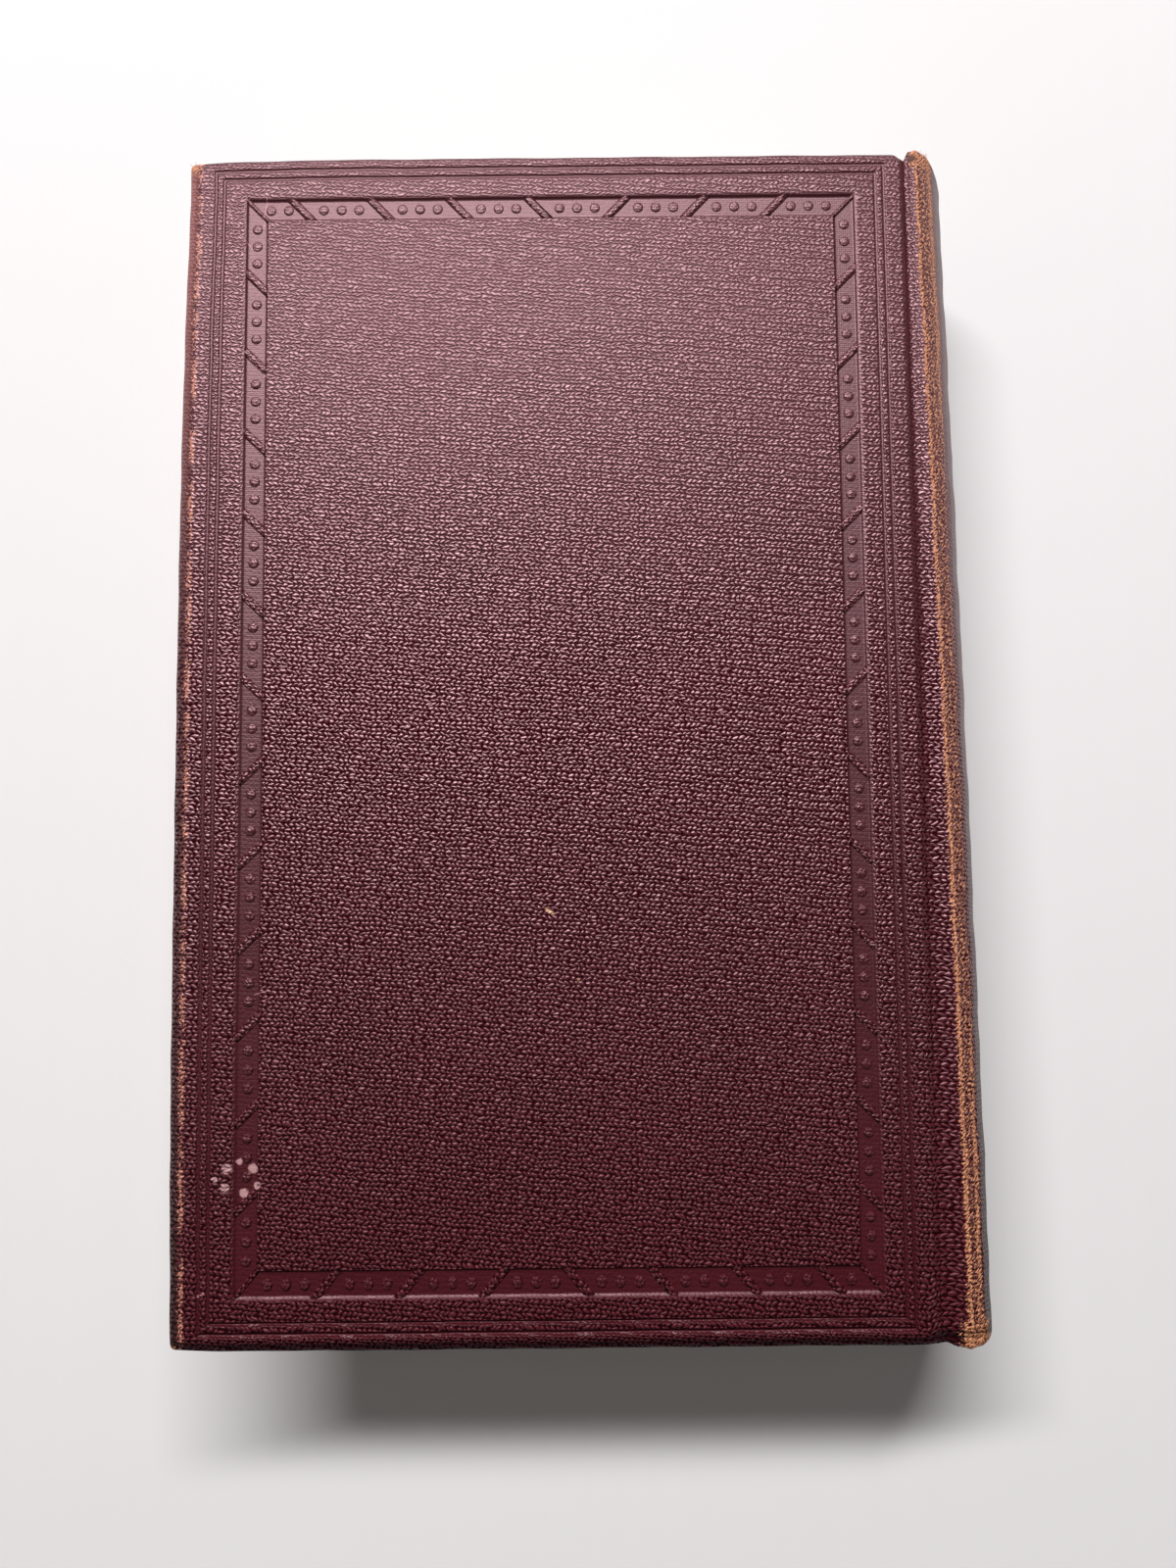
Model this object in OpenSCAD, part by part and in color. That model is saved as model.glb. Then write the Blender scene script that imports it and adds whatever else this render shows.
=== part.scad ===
// A cloth-bound book lying on its front cover, with its back cover up and its spine to the right.
// The block of pages is rounded and backed. Each cover swings about the cloth of its joint groove.
// X runs from fore-edge to spine, Y from tail to head and Z from front cover to back cover.

/* [Covers] */
// Height of a cover, tail to head
cover_h = 216; // [180:1:280]
// Width of a cover, fore-edge to joint groove
cover_w = 133; // [110:1:190]
// Thickness of the closed book over both covers
book_t = 41; // [37:0.5:56]
// Thickness of a cover's board
board_t = 2.5; // [2:0.1:3]
// Thickness of the covering cloth
cloth_t = 0.5; // [0.45:0.05:0.6]
// Rounding where the cloth turns over a board's outer edge
edge_r = 1.2; // [0.9:0.1:1.6]
// Rounding where the cloth turns over a board's inner edge
inner_edge_r = 0.9; // [0.7:0.1:1.1]
// Rounding of a cover's two fore-edge corners, seen from above
corner_r = 1.8; // [1.2:0.1:3]
// Width of the cloth turned in over the inside of a board
turn_in = 15; // [9:1:22]

/* [Endpapers] */
// Thickness of an endpaper
paper_t = 0.25; // [0.2:0.05:0.35]
// Margin of turned-in cloth that the pasted endpaper leaves bare
paste_margin = 4; // [3:0.5:6]
// Gap between a closed cover and the block of pages
block_gap = 0.2; // [0.15:0.05:0.4]

/* [Joints and spine] */
// Width of the joint groove, from a cover's edge to the ridge of the spine
joint_w = 5; // [4:0.1:6.5]
// Depth of the joint groove under the cover's face
joint_depth = 1; // [0.8:0.05:1.2]
// Length of the cover's edge that bends down into the groove
joint_lip = 1.5; // [1:0.1:2]
// Slit in the cloth along the middle of the groove
joint_slit = 0.3; // [0.25:0.05:0.5]
// Depth of the spine's ridge under the cover's face
ridge_drop = 0.4; // [0.3:0.05:0.6]
// Radius of the cloth rolling over the ridge
ridge_r = 1.3; // [1:0.1:1.6]
// Height of the rounded spine beyond its ridges
spine_round = 9.5; // [8:0.1:11]
// Thickness of the card strip inside the spine cloth
inlay_t = 0.8; // [0.6:0.1:1]
// Length of the cloth turned in at the head and tail of the spine
cap_turn = 14; // [8:1:20]
// Rounding of the caps at the head and tail of the spine
cap_r = 0.8; // [0.6:0.05:0.9]
// Gap of the hollow back between the turned-in cloth and the lining
hollow_gap = 0.2; // [0.15:0.05:0.5]

/* [Block of pages] */
// Margin by which the covers pass the pages at head and tail
square_end = 3; // [2.5:0.1:5]
// Margin by which the covers pass the pages at the fore-edge
square_fore = 3.5; // [2.5:0.1:6]
// Thickness of the paper lining on the back of the pages
lining_t = 0.3; // [0.2:0.05:0.5]
// Thickness of the open-weave mull on the back of the pages
mull_t = 0.3; // [0.2:0.05:0.4]
// Distance by which the mull stops short of the turned-in cloth
mull_short = 1.5; // [1:0.5:10]
// Width of the mull glued to the inside of each board
mull_flap_w = 24; // [15:1:35]
// Width of a sewing tape
tape_w = 12; // [8:1:16]
// Thickness of a sewing tape
tape_t = 0.4; // [0.3:0.05:0.6]
// Distance from one sewing tape to the next
tape_step = 65; // [45:1:75]
// Radius of the bead of a headband
bead_r = 1.1; // [0.8:0.1:1.2]
// Length of the headband's cloth tab glued to the back of the pages
band_tab = 8; // [5:0.5:10]

/* [Stamped border] */
// Distance of the grained field from the fore-edge
field_fore = 15.1; // [14:0.1:20]
// Distance of the grained field from the joint
field_spine = 12.4; // [11.5:0.1:18]
// Distance of the grained field from the head edge
field_head = 11.8; // [11:0.1:18]
// Distance of the grained field from the tail edge
field_tail = 13.4; // [12:0.1:18]
// Width of the sunk band round the field
band_w = 4.1; // [3.4:0.1:4.8]
// Depth of the sunk band
band_d = 0.35; // [0.25:0.05:0.4]
// Distance of the outer fine line from the fore-edge
line_fore = 4.7; // [3:0.1:5.5]
// Distance of the outer fine line from the joint
line_spine = 2.4; // [1.8:0.1:3.5]
// Distance of the outer fine line from the head edge
line_head = 1.9; // [1.6:0.1:3]
// Distance of the outer fine line from the tail edge
line_tail = 3; // [1.6:0.1:3.6]
// Distance from the outer fine line to the inner one
line_step = 1.6; // [1.2:0.1:2]
// Width of a fine line
line_w = 0.6; // [0.4:0.05:0.8]
// Depth of a fine line
line_d = 0.2; // [0.1:0.05:0.3]
// Width of a slanting bar in the band
bar_w = 1.2; // [0.8:0.1:1.6]
// Distance from bar to bar along the long sides
bar_step_long = 15.2; // [13:0.1:20]
// Distance from bar to bar along the head and tail
bar_step_short = 14.7; // [13:0.1:20]
// Place of the middle bar at the head, from the middle of the field
bar_shift_head = -2.4; // [-5:0.1:5]
// Place of the middle bar at the tail, from the middle of the field
bar_shift_tail = 3.4; // [-5:0.1:5]
// Diameter of a raised dot
dot_d = 1.95; // [1.4:0.05:2.4]
// Distance from dot to dot
dot_step = 3.3; // [2.8:0.1:3.6]
// Most dots between two bars
dots_most = 3; // [1:1:3]

/* [Hidden] */

// Colours
cloth_colour = [0.31, 0.13, 0.16];
board_colour = [0.55, 0.45, 0.33];
paper_colour = [0.84, 0.76, 0.61];
endpaper_colour = [0.78, 0.68, 0.52];
mull_colour = [0.80, 0.75, 0.63];
tape_colour = [0.76, 0.70, 0.57];
band_colour = [0.62, 0.27, 0.24];

// Places along X
x_fore = -(cover_w + joint_w + spine_round) / 2;
x_joint = x_fore + cover_w;
x_hinge = x_joint + joint_w / 2;
x_ridge = x_joint + joint_w;
x_apex = x_ridge + spine_round;
x_board_end = x_joint - cloth_t;
x_leaf_fore = x_fore + square_fore;
x_leaf_foot = x_joint + cloth_t;

// Heights of the back cover's layers, from the middle of the book
half_t = book_t / 2;
board_top = half_t - cloth_t;
board_low = board_top - board_t;
turn_low = board_low - cloth_t;
paste_low = turn_low - paper_t;
leaf_top = paste_low - block_gap;
page_top = leaf_top - paper_t;

// Half lengths along Y
cover_half = cover_h / 2;
leaf_half = cover_half - square_end;
window_half = cover_half - cloth_t - turn_in;
mull_half = window_half - mull_short;

// The spine's arc runs tangent into the rolls over both ridges
ridge_z = half_t - ridge_drop - ridge_r;
spine_r = (pow(spine_round, 2) + pow(ridge_z, 2) - pow(ridge_r, 2)) / (2 * (spine_round - ridge_r));
spine_c = x_apex - spine_r;
ridge_angle = atan2(ridge_z, x_ridge - spine_c);

// Radii of the layers under the spine cloth
inlay_r = spine_r - cloth_t;
cap_inner_r = inlay_r - inlay_t;
hollow_r = cap_inner_r - cloth_t;
lining_r = hollow_r - hollow_gap;
mull_r = lining_r - lining_t;
back_r = mull_r - mull_t;

// The backed shoulders of the pages stay under the cloth of the groove
shoulder_z = half_t - joint_depth - cloth_t - mull_t - block_gap;
shoulder_angle = asin(shoulder_z / back_r);
mull_angle = shoulder_angle - 1;
lining_angle = mull_angle - 4;
inlay_angle = ridge_angle - 4;
band_angle = asin(page_top / back_r);
fore_c = x_leaf_fore - sqrt(pow(back_r, 2) - pow(page_top, 2));

// Field of the stamped border
field_x = [x_fore + field_fore, x_joint - field_spine];
field_y = [-cover_half + field_tail, cover_half - field_head];
field_mid = [(field_x[0] + field_x[1]) / 2, (field_y[0] + field_y[1]) / 2];
field_size = [field_x[1] - field_x[0], field_y[1] - field_y[0]];
bar_margin = 4.5;

// Facets
arc_steps = 24;
edge_steps = 5;
groove_steps = 8;
dot_sides = 8;
big_fn = 96;
bead_fn = 24;
skip = 1;

// Points of an arc about c, from angle a to angle b
function arc(c, r, a, b, n) =
    [for (i = [0:n]) [c[0] + r * cos(a + (b - a) * i / n), c[1] + r * sin(a + (b - a) * i / n)]];

function reversed(list) = [for (i = [len(list) - 1:-1:0]) list[i]];

// The same points under the middle plane, in the opposite order
function below(list) = [for (p = reversed(list)) [p[0], -p[1]]];

// Soft step from 0 to 1
function ease(t) = (1 - cos(180 * max(0, min(1, t)))) / 2;

// How far the cloth lies under the cover's face, from the board's lip to the spine's ridge
function groove(x) =
    x < x_hinge
    ? joint_depth * ease((x - x_joint + joint_lip) / (x_hinge - x_joint + joint_lip))
    : joint_depth + (ridge_drop - joint_depth) * ease((x - x_hinge) / (x_ridge - x_hinge));

function groove_slope(x) = (groove(x + 0.01) - groove(x - 0.01)) / 0.02;

// A point of the groove's cloth, at depth t square to its outer face
function groove_point(x, t) =
    let (s = groove_slope(x), q = sqrt(1 + s * s)) [x - t * s / q, half_t - groove(x) - t / q];

function groove_run(a, b, t) =
    [for (i = [0:groove_steps]) groove_point(a + (b - a) * i / groove_steps, t)];

// Cloth of the groove and of the roll over the ridge, up to the back, at depth t
function joint_line(t) = concat(
    groove_run(x_hinge + joint_slit / 2, x_ridge - 0.01, t),
    arc([x_ridge, ridge_z], ridge_r - t, 90, ridge_angle, edge_steps)
);

// Places of the bars along one side of the border
function bars(length, step, shift) =
    [for (i = [-20:20]) let (p = shift + i * step) if (abs(p) < length / 2 - bar_margin) p];

function stops(length, step, shift) =
    concat([-(length + band_w) / 2], bars(length, step, shift), [(length + band_w) / 2]);

// Extrudes a section drawn in X and Z along Y
module along(y0, y1) {
    translate([0, y1, half_t])
        rotate([90, 0, 0])
            linear_extrude(y1 - y0)
                children();
}

// Band of the rounded back between two radii, within an angle to each side
module back_band(inner, outer, angle) {
    far = 2 * outer;
    translate([spine_c, 0])
        difference() {
            intersection() {
                circle(r = outer, $fn = big_fn);
                polygon([[0, 0], far * [cos(angle), -sin(angle)], far * [cos(angle), sin(angle)]]);
            }
            circle(r = inner, $fn = big_fn);
        }
}

// Turns children to the front cover's side
module to_front() {
    translate([0, 0, book_t])
        mirror([0, 0, 1])
            children();
}

// Box given by its low and high corners, with Z from the middle of the book
module box(low, high) {
    translate([low[0], low[1], half_t + low[2]])
        cube(high - low);
}

// Plain ring of the border, w wide, outside the rectangle a to b
module ring(a, b, w) {
    difference() {
        translate(a - [w, w])
            square(b - a + 2 * [w, w]);
        translate(a)
            square(b - a);
    }
}

// Rounds the head and tail edges of a cover or of the spine cloth, for the layer t inside the cloth
module end_form(t, z0) {
    y1 = cover_half - t;
    side = concat(
        arc([y1 - inner_edge_r + t, z0 + inner_edge_r - t], inner_edge_r - t, -90, 0, edge_steps),
        arc([y1 - edge_r + t, half_t - edge_r], edge_r - t, 0, 90, edge_steps)
    );
    translate([x_fore, 0, half_t])
        rotate([90, 0, 90])
            linear_extrude(x_apex - x_fore)
                polygon(concat(side, [for (p = reversed(side)) [-p[0], p[1]]]));
}

// Rounds the fore-edge corners as seen from above, for the layer t inside the cloth
module plan_form(t) {
    a = [x_fore + t, cover_half - t];
    r = corner_r - t;
    corner = arc([a[0] + r, a[1] - r], r, 90, 180, edge_steps);
    linear_extrude(book_t)
        polygon(concat([[x_apex, a[1]]], corner, below(corner), [[x_apex, -a[1]]]));
}

// Fore-edge part of a cover's section, for the layer t inside the cloth
function fore_round(t, z0) = concat(
    arc([x_fore + inner_edge_r, z0 + inner_edge_r - t], inner_edge_r - t, -90, -180, edge_steps),
    arc([x_fore + edge_r, half_t - edge_r], edge_r - t, 180, 90, edge_steps)
);

// Outer form of a cover: rounded at the edges and running down into the joint groove
module cover_form() {
    slit_edge = x_hinge - joint_slit / 2;
    intersection() {
        along(-cover_half, cover_half)
            polygon(concat(
                fore_round(0, turn_low),
                groove_run(x_joint - joint_lip, slit_edge, 0),
                reversed(groove_run(x_joint, slit_edge, cloth_t)),
                [[x_board_end, board_top - groove(x_joint)], [x_board_end, turn_low]]
            ));
        end_form(0, turn_low);
        plan_form(0);
    }
}

module board_form() {
    intersection() {
        along(-cover_half, cover_half)
            polygon(concat(
                fore_round(cloth_t, board_low),
                [[x_board_end, board_top - groove(x_board_end)], [x_board_end, board_low]]
            ));
        end_form(cloth_t, board_low);
        plan_form(cloth_t);
    }
}

// Plan of the sunk band, with its slanting bars and dots left standing
module band_plan() {
    difference() {
        ring([field_x[0], field_y[0]], [field_x[1], field_y[1]], band_w);
        ornament();
    }
}

// Bars slant as the mitre of their own quarter of the cover does
module bar(p) {
    slant = (p - field_mid)[0] * (p - field_mid)[1] > 0 ? 45 : -45;
    translate(p)
        rotate(slant)
            square([2 * band_w, bar_w], center = true);
}

module dots(a, b) {
    n = min(dots_most, round(norm(b - a) / dot_step) - 1);
    dir = (b - a) / norm(b - a);
    if (n > 0)
        for (i = [0:n - 1])
            translate((a + b) / 2 + (i - (n - 1) / 2) * dot_step * dir)
                circle(d = dot_d, $fn = dot_sides);
}

module ornament() {
    off = field_size / 2 + [band_w, band_w] / 2;
    for (side = [-1, 1]) {
        long = stops(field_size[1], bar_step_long, bar_step_long / 2);
        short = stops(field_size[0], bar_step_short, side > 0 ? bar_shift_head : bar_shift_tail);
        for (i = [0:len(long) - 1])
            bar(field_mid + [side * off[0], long[i]]);
        for (i = [1:len(short) - 2])
            bar(field_mid + [short[i], side * off[1]]);
        for (i = [0:len(long) - 2])
            dots(field_mid + [side * off[0], long[i]], field_mid + [side * off[0], long[i + 1]]);
        for (i = [0:len(short) - 2])
            dots(field_mid + [short[i], side * off[1]], field_mid + [short[i + 1], side * off[1]]);
    }
}

// Two fine lines round the border
module line_plan() {
    for (i = [0, 1]) {
        inset = line_w + i * line_step;
        ring(
            [x_fore + line_fore + inset, -cover_half + line_tail + inset],
            [x_joint - line_spine - inset, cover_half - line_head - inset],
            line_w
        );
    }
}

module stamp() {
    translate([0, 0, book_t - band_d])
        linear_extrude(band_d + skip)
            band_plan();
    translate([0, 0, book_t - line_d])
        linear_extrude(line_d + skip)
            line_plan();
}

// Hollow in the board's face where the stamp has pressed the band down
module board_hollow() {
    translate([0, 0, half_t + board_top - band_d])
        linear_extrude(band_d + skip)
            ring(
                [field_x[0] + cloth_t, field_y[0] + cloth_t],
                [field_x[1] - cloth_t, field_y[1] - cloth_t],
                band_w + 2 * cloth_t
            );
}

// Space inside the turned-in cloth, open towards the joint
module window(inset, low) {
    box(
        [x_fore + cloth_t + turn_in + inset, -window_half + inset, low],
        [x_board_end + skip, window_half - inset, board_low]
    );
}

module cover_board() {
    difference() {
        board_form();
        board_hollow();
    }
}

module cover_cloth() {
    difference() {
        cover_form();
        cover_board();
        window(0, turn_low - skip);
        stamp();
    }
}

module mull_flap() {
    box(
        [x_board_end - mull_flap_w, -mull_half, board_low - mull_t],
        [x_board_end, mull_half, board_low]
    );
}

// The pasted endpaper steps down inside the turned-in cloth and up over the mull
module pastedown() {
    paste_half = cover_half - paste_margin;
    difference() {
        union() {
            difference() {
                box(
                    [x_fore + paste_margin, -paste_half, paste_low],
                    [x_board_end, paste_half, board_low]
                );
                translate([0, 0, -paper_t])
                    window(paper_t, paste_low - skip);
            }
            box(
                [x_board_end - mull_flap_w - paper_t, -mull_half - paper_t, board_low - mull_t - paper_t],
                [x_board_end, mull_half + paper_t, board_low]
            );
        }
        difference() {
            box([x_fore, -cover_half, turn_low], [x_board_end, cover_half, board_low]);
            window(0, turn_low - skip);
        }
        mull_flap();
    }
}

// Section of the pages: hollow fore-edge, flat faces, hollow flanks under the shoulders, round back
module page_section() {
    tip_x = spine_c + back_r * cos(shoulder_angle);
    flank = [for (i = [0:edge_steps])
        let (a = 90 * i / edge_steps)
        [x_leaf_foot + (tip_x - x_leaf_foot) * sin(a), page_top + (shoulder_z - page_top) * (1 - cos(a))]];
    difference() {
        polygon(concat(
            arc([fore_c, 0], back_r, -band_angle, band_angle, arc_steps),
            flank,
            [[x_apex, shoulder_z], [x_apex, -shoulder_z]],
            below(flank)
        ));
        difference() {
            translate([x_leaf_foot, -half_t])
                square([x_apex, book_t]);
            translate([spine_c, 0])
                circle(r = back_r, $fn = big_fn);
        }
    }
}

module pages() {
    color(paper_colour)
        difference() {
            along(-leaf_half, leaf_half)
                page_section();
            tape_bands(back_r + skip);
        }
}

module tape_bands(outer) {
    for (i = [-1:1])
        along(i * tape_step - tape_w / 2, i * tape_step + tape_w / 2)
            back_band(back_r - tape_t, outer, lining_angle);
}

module sewing_tapes() {
    color(tape_colour)
        tape_bands(back_r);
}

module flyleaf() {
    box([x_leaf_fore, -leaf_half, page_top], [x_leaf_foot, leaf_half, leaf_top]);
}

module back_flyleaf() {
    color(endpaper_colour)
        flyleaf();
}

module front_flyleaf() {
    color(endpaper_colour)
        to_front()
            flyleaf();
}

module spine_mull() {
    color(mull_colour)
        along(-mull_half, mull_half)
            back_band(back_r, mull_r, mull_angle);
}

module spine_lining() {
    color(paper_colour)
        along(-leaf_half + cloth_t, leaf_half - cloth_t)
            back_band(mull_r, lining_r, lining_angle);
}

// A beaded band on the edge of the pages, with a cloth tab glued down beside the mull
module end_band() {
    color(band_colour) {
        translate([spine_c, leaf_half + bead_r, half_t])
            rotate([90, 0, 0])
                rotate([0, 0, -band_angle])
                    rotate_extrude(angle = 2 * band_angle, $fn = big_fn)
                        translate([mull_r - bead_r, 0])
                            circle(r = bead_r, $fn = bead_fn);
        along(leaf_half - band_tab, leaf_half + bead_r)
            back_band(back_r, mull_r, band_angle);
    }
}

module head_band() {
    end_band();
}

module tail_band() {
    mirror([0, 1, 0])
        end_band();
}

module spine_inlay() {
    color(board_colour)
        along(-cover_half + cloth_t, cover_half - cloth_t)
            back_band(cap_inner_r, inlay_r, inlay_angle);
}

// Half of the back's profile, radius against length: rounded cap, turned-in cloth, pocket for the inlay
function cap_profile() = concat(
    arc([spine_r - cap_r, cover_half - cap_r], cap_r, 0, 90, edge_steps),
    [
        [hollow_r, cover_half],
        [hollow_r, cover_half - cap_turn],
        [cap_inner_r, cover_half - cap_turn],
        [cap_inner_r, cover_half - cloth_t],
        [inlay_r, cover_half - cloth_t],
    ]
);

// The cloth of the spine, turned in round the inlay at head and tail, with its rolls and grooves
module spine_cloth() {
    joint_section = concat(joint_line(0), reversed(joint_line(cloth_t)));
    color(cloth_colour) {
        translate([spine_c, 0, half_t])
            rotate([90, 0, 0])
                rotate([0, 0, -ridge_angle])
                    rotate_extrude(angle = 2 * ridge_angle, $fn = big_fn)
                        polygon(concat(cap_profile(), below(cap_profile())));
        along(-cover_half, cover_half) {
            polygon(joint_section);
            polygon(below(joint_section));
        }
    }
}

module back_board() {
    color(board_colour)
        cover_board();
}

module back_cloth() {
    color(cloth_colour)
        cover_cloth();
}

module back_mull_flap() {
    color(mull_colour)
        mull_flap();
}

module back_pastedown() {
    color(endpaper_colour)
        pastedown();
}

module front_board() {
    color(board_colour)
        to_front()
            cover_board();
}

module front_cloth() {
    color(cloth_colour)
        to_front()
            cover_cloth();
}

module front_mull_flap() {
    color(mull_colour)
        to_front()
            mull_flap();
}

module front_pastedown() {
    color(endpaper_colour)
        to_front()
            pastedown();
}

pages();
back_flyleaf();
front_flyleaf();
sewing_tapes();
spine_mull();
spine_lining();
head_band();
tail_band();
spine_inlay();
spine_cloth();
back_board();
back_cloth();
back_mull_flap();
back_pastedown();
front_board();
front_cloth();
front_mull_flap();
front_pastedown();
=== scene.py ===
"""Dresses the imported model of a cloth-bound hardback book: its covering cloth with stamped border, grain and
wear, its leaves, endpapers and headbands, and the pale table and soft window light that it is seen in.
Lengths in the shape functions are millimetres, with Z from the middle of the book, until put_mesh."""

import math

import bpy
import numpy as np
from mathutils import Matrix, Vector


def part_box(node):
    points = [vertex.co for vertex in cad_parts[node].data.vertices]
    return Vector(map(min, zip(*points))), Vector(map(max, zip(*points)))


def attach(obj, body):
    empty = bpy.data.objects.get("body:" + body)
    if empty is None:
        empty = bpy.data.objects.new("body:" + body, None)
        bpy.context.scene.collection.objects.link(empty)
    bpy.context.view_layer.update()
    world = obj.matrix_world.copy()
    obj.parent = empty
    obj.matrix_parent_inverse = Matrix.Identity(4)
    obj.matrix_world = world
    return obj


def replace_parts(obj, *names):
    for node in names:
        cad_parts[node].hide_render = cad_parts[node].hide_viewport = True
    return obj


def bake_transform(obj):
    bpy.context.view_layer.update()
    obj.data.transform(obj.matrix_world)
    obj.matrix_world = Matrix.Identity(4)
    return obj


bl_info = {
    "name": "Cloth-bound book",
    "version": (1, 0, 0),
    "blender": (4, 5, 0),
    "location": "View3D > Sidebar > Book",
    "description": "Makes the cloth, paper and stage of a hardback book round its packed model",
    "category": "Object",
}

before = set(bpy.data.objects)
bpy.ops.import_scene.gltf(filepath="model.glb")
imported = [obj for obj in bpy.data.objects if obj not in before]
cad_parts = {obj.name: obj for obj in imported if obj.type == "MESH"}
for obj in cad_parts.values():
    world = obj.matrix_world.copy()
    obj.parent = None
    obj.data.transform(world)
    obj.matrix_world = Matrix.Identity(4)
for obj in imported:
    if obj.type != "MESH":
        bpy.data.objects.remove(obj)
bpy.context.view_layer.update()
MM = 0.001

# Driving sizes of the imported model, in millimetres
CLOTH_LOW, CLOTH_HIGH = [np.array(corner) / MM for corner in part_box("back_cloth")]
X_FORE = float(CLOTH_LOW[0])
COVER_HALF = float(CLOTH_HIGH[1])
HALF_T = float(CLOTH_HIGH[2]) / 2
BOARD_T, CLOTH_T, EDGE_R, INNER_EDGE_R = 2.5, 0.5, 1.2, 0.9
COVER_W, JOINT_W, ROUND_W = 133.0, 5.0, 9.5
X_JOINT = X_FORE + COVER_W
X_HINGE = X_JOINT + JOINT_W / 2
X_RIDGE = X_JOINT + JOINT_W
X_APEX = X_RIDGE + ROUND_W
JOINT_DEPTH, JOINT_LIP, RIDGE_DROP, RIDGE_R = 1.0, 1.5, 0.4, 1.3
TURN_IN, CAP_TURN, CAP_R, INLAY_T = 15.0, 14.0, 0.8, 0.8
LINING_T, FLAP_T, PASTE_T, BACK_GAP = 0.3, 0.3, 0.25, 0.2
LEAF_HALF = COVER_HALF - 3.0
PASTE_LOW = HALF_T - BOARD_T - 2 * CLOTH_T - PASTE_T
PASTE_MARGIN, FLAP_W, FLAP_HALF, PASTE_FALL = 4.0, 24.0, COVER_HALF - 16.5, 1.6
PASTE_STEPS = np.linspace(0, PASTE_FALL, 7)

# Spine: the arc through its apex that meets the round of each ridge
RIDGE_Z = HALF_T - RIDGE_DROP - RIDGE_R
SPINE_R = (ROUND_W**2 + RIDGE_Z**2 - RIDGE_R**2) / (2 * (ROUND_W - RIDGE_R))
SPINE_C = X_APEX - SPINE_R
RIDGE_ANGLE = math.atan2(RIDGE_Z, X_RIDGE - SPINE_C)
INLAY_R = SPINE_R - CLOTH_T
BACK_R = INLAY_R - INLAY_T - CLOTH_T - BACK_GAP - LINING_T - FLAP_T
ROLL_STEPS, CREST_STEP = 8, 3
SEAM = RIDGE_ANGLE * SPINE_R + (math.pi / 2 - RIDGE_ANGLE) * RIDGE_R * (1 - CREST_STEP / ROLL_STEPS)
MAP_START = X_RIDGE + 0.75

# Stamped border: the field's low and high corner, its band, and two fine lines
FIELD_LOW = np.array([X_FORE + 15.1, -COVER_HALF + 13.4])
FIELD_HIGH = np.array([X_JOINT - 12.4, COVER_HALF - 11.8])
FIELD_MID = (FIELD_LOW + FIELD_HIGH) / 2
FIELD_SIZE = FIELD_HIGH - FIELD_LOW
BAND_W, BAND_D, BAND_WALL = 4.1, 0.35, 0.4
LINE_W, LINE_WALL, LINE_D, LINE_STEP = 0.9, 0.38, 0.26, 1.6
DOT_R, DOT_PITCH, BAR_W, BAR_H, MITRE_W, FOOT = 0.98, 3.3, 1.6, 0.36, 0.62, -0.12
LINE_LOW = np.array([X_FORE + 4.7, -COVER_HALF + 3.0])
LINE_HIGH = np.array([X_JOINT - 2.4, COVER_HALF - 1.9])
LINE_MID = (LINE_LOW + LINE_HIGH) / 2
LINE_SIZE = LINE_HIGH - LINE_LOW

CAMERA_PLACE, CAMERA_TURN = (-0.00012, -0.02489, 0.24674), (4.177, 0.0, -0.561)
LAMP_REACH, TABLE_REACH, FADE_START, FADE_END = 1.75, 8.0, 0.6, 1.8
SIDES = ("back", "front")


def ease(t):
    """Soft step: half a cosine wave from 0 at t = 0 to 1 at t = 1."""
    return (1 - np.cos(np.pi * np.clip(t, 0, 1))) / 2


def bump_step(x, low, high):
    """Soft step from 0 at x = low to 1 at x = high."""
    return ease((np.asarray(x, float) - low) / (high - low))


def groove(x):
    """Depth of the joint's groove under the cover's face, from the board's lip to the ridge."""
    fall = JOINT_DEPTH * bump_step(x, X_JOINT + 0.2, X_JOINT + 2.0)
    rise = (RIDGE_DROP - JOINT_DEPTH) * bump_step(x, X_HINGE, X_RIDGE)
    return fall + rise


def waves(t, seed, lengths):
    """Sum of sines of the given wave lengths over t, with seeded phases, from about -1 to 1."""
    phases = np.random.default_rng(seed).uniform(0, 2 * np.pi, len(lengths))
    total = sum(np.sin(2 * np.pi * t / w + p) for w, p in zip(lengths, phases))
    return total / math.sqrt(len(lengths))


def grid_faces(index):
    """Quads of a grid of vertex numbers. One with a doubled corner becomes a triangle."""
    quads = np.stack([index[:-1, :-1], index[1:, :-1], index[1:, 1:], index[:-1, 1:]], -1).reshape(-1, 4)
    flat = (quads == np.roll(quads, -1, 1)).any(1)
    faces = quads[~flat].tolist()
    for quad in quads[flat].tolist():
        corners = [v for k, v in enumerate(quad) if v != quad[k - 1]]
        if len(corners) > 2:
            faces.append(corners)
    return faces


def put_mesh(name, points, faces, material, uv=None, attributes=None):
    """A mesh object at the origin, from points in millimetres, each with its uv pair and attribute values."""
    points = np.asarray(points, float).reshape(-1, 3)
    mesh = bpy.data.meshes.new(name)
    mesh.from_pydata(((points + [0, 0, HALF_T]) * MM).tolist(), [], faces)
    if uv is not None:
        corner = np.zeros(len(mesh.loops), np.int32)
        mesh.loops.foreach_get("vertex_index", corner)
        layer = mesh.uv_layers.new(name="cloth")
        layer.data.foreach_set("uv", np.asarray(uv, np.float32)[corner].ravel())
    for key, values in (attributes or {}).items():
        field = mesh.attributes.new(key, "FLOAT", "POINT")
        field.data.foreach_set("value", np.asarray(values, np.float32).ravel())
    mesh.polygons.foreach_set("use_smooth", [True] * len(mesh.polygons))
    mesh.materials.append(material)
    mesh.update()
    piece = bpy.data.objects.new(name, mesh)
    bpy.context.scene.collection.objects.link(piece)
    return piece


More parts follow.
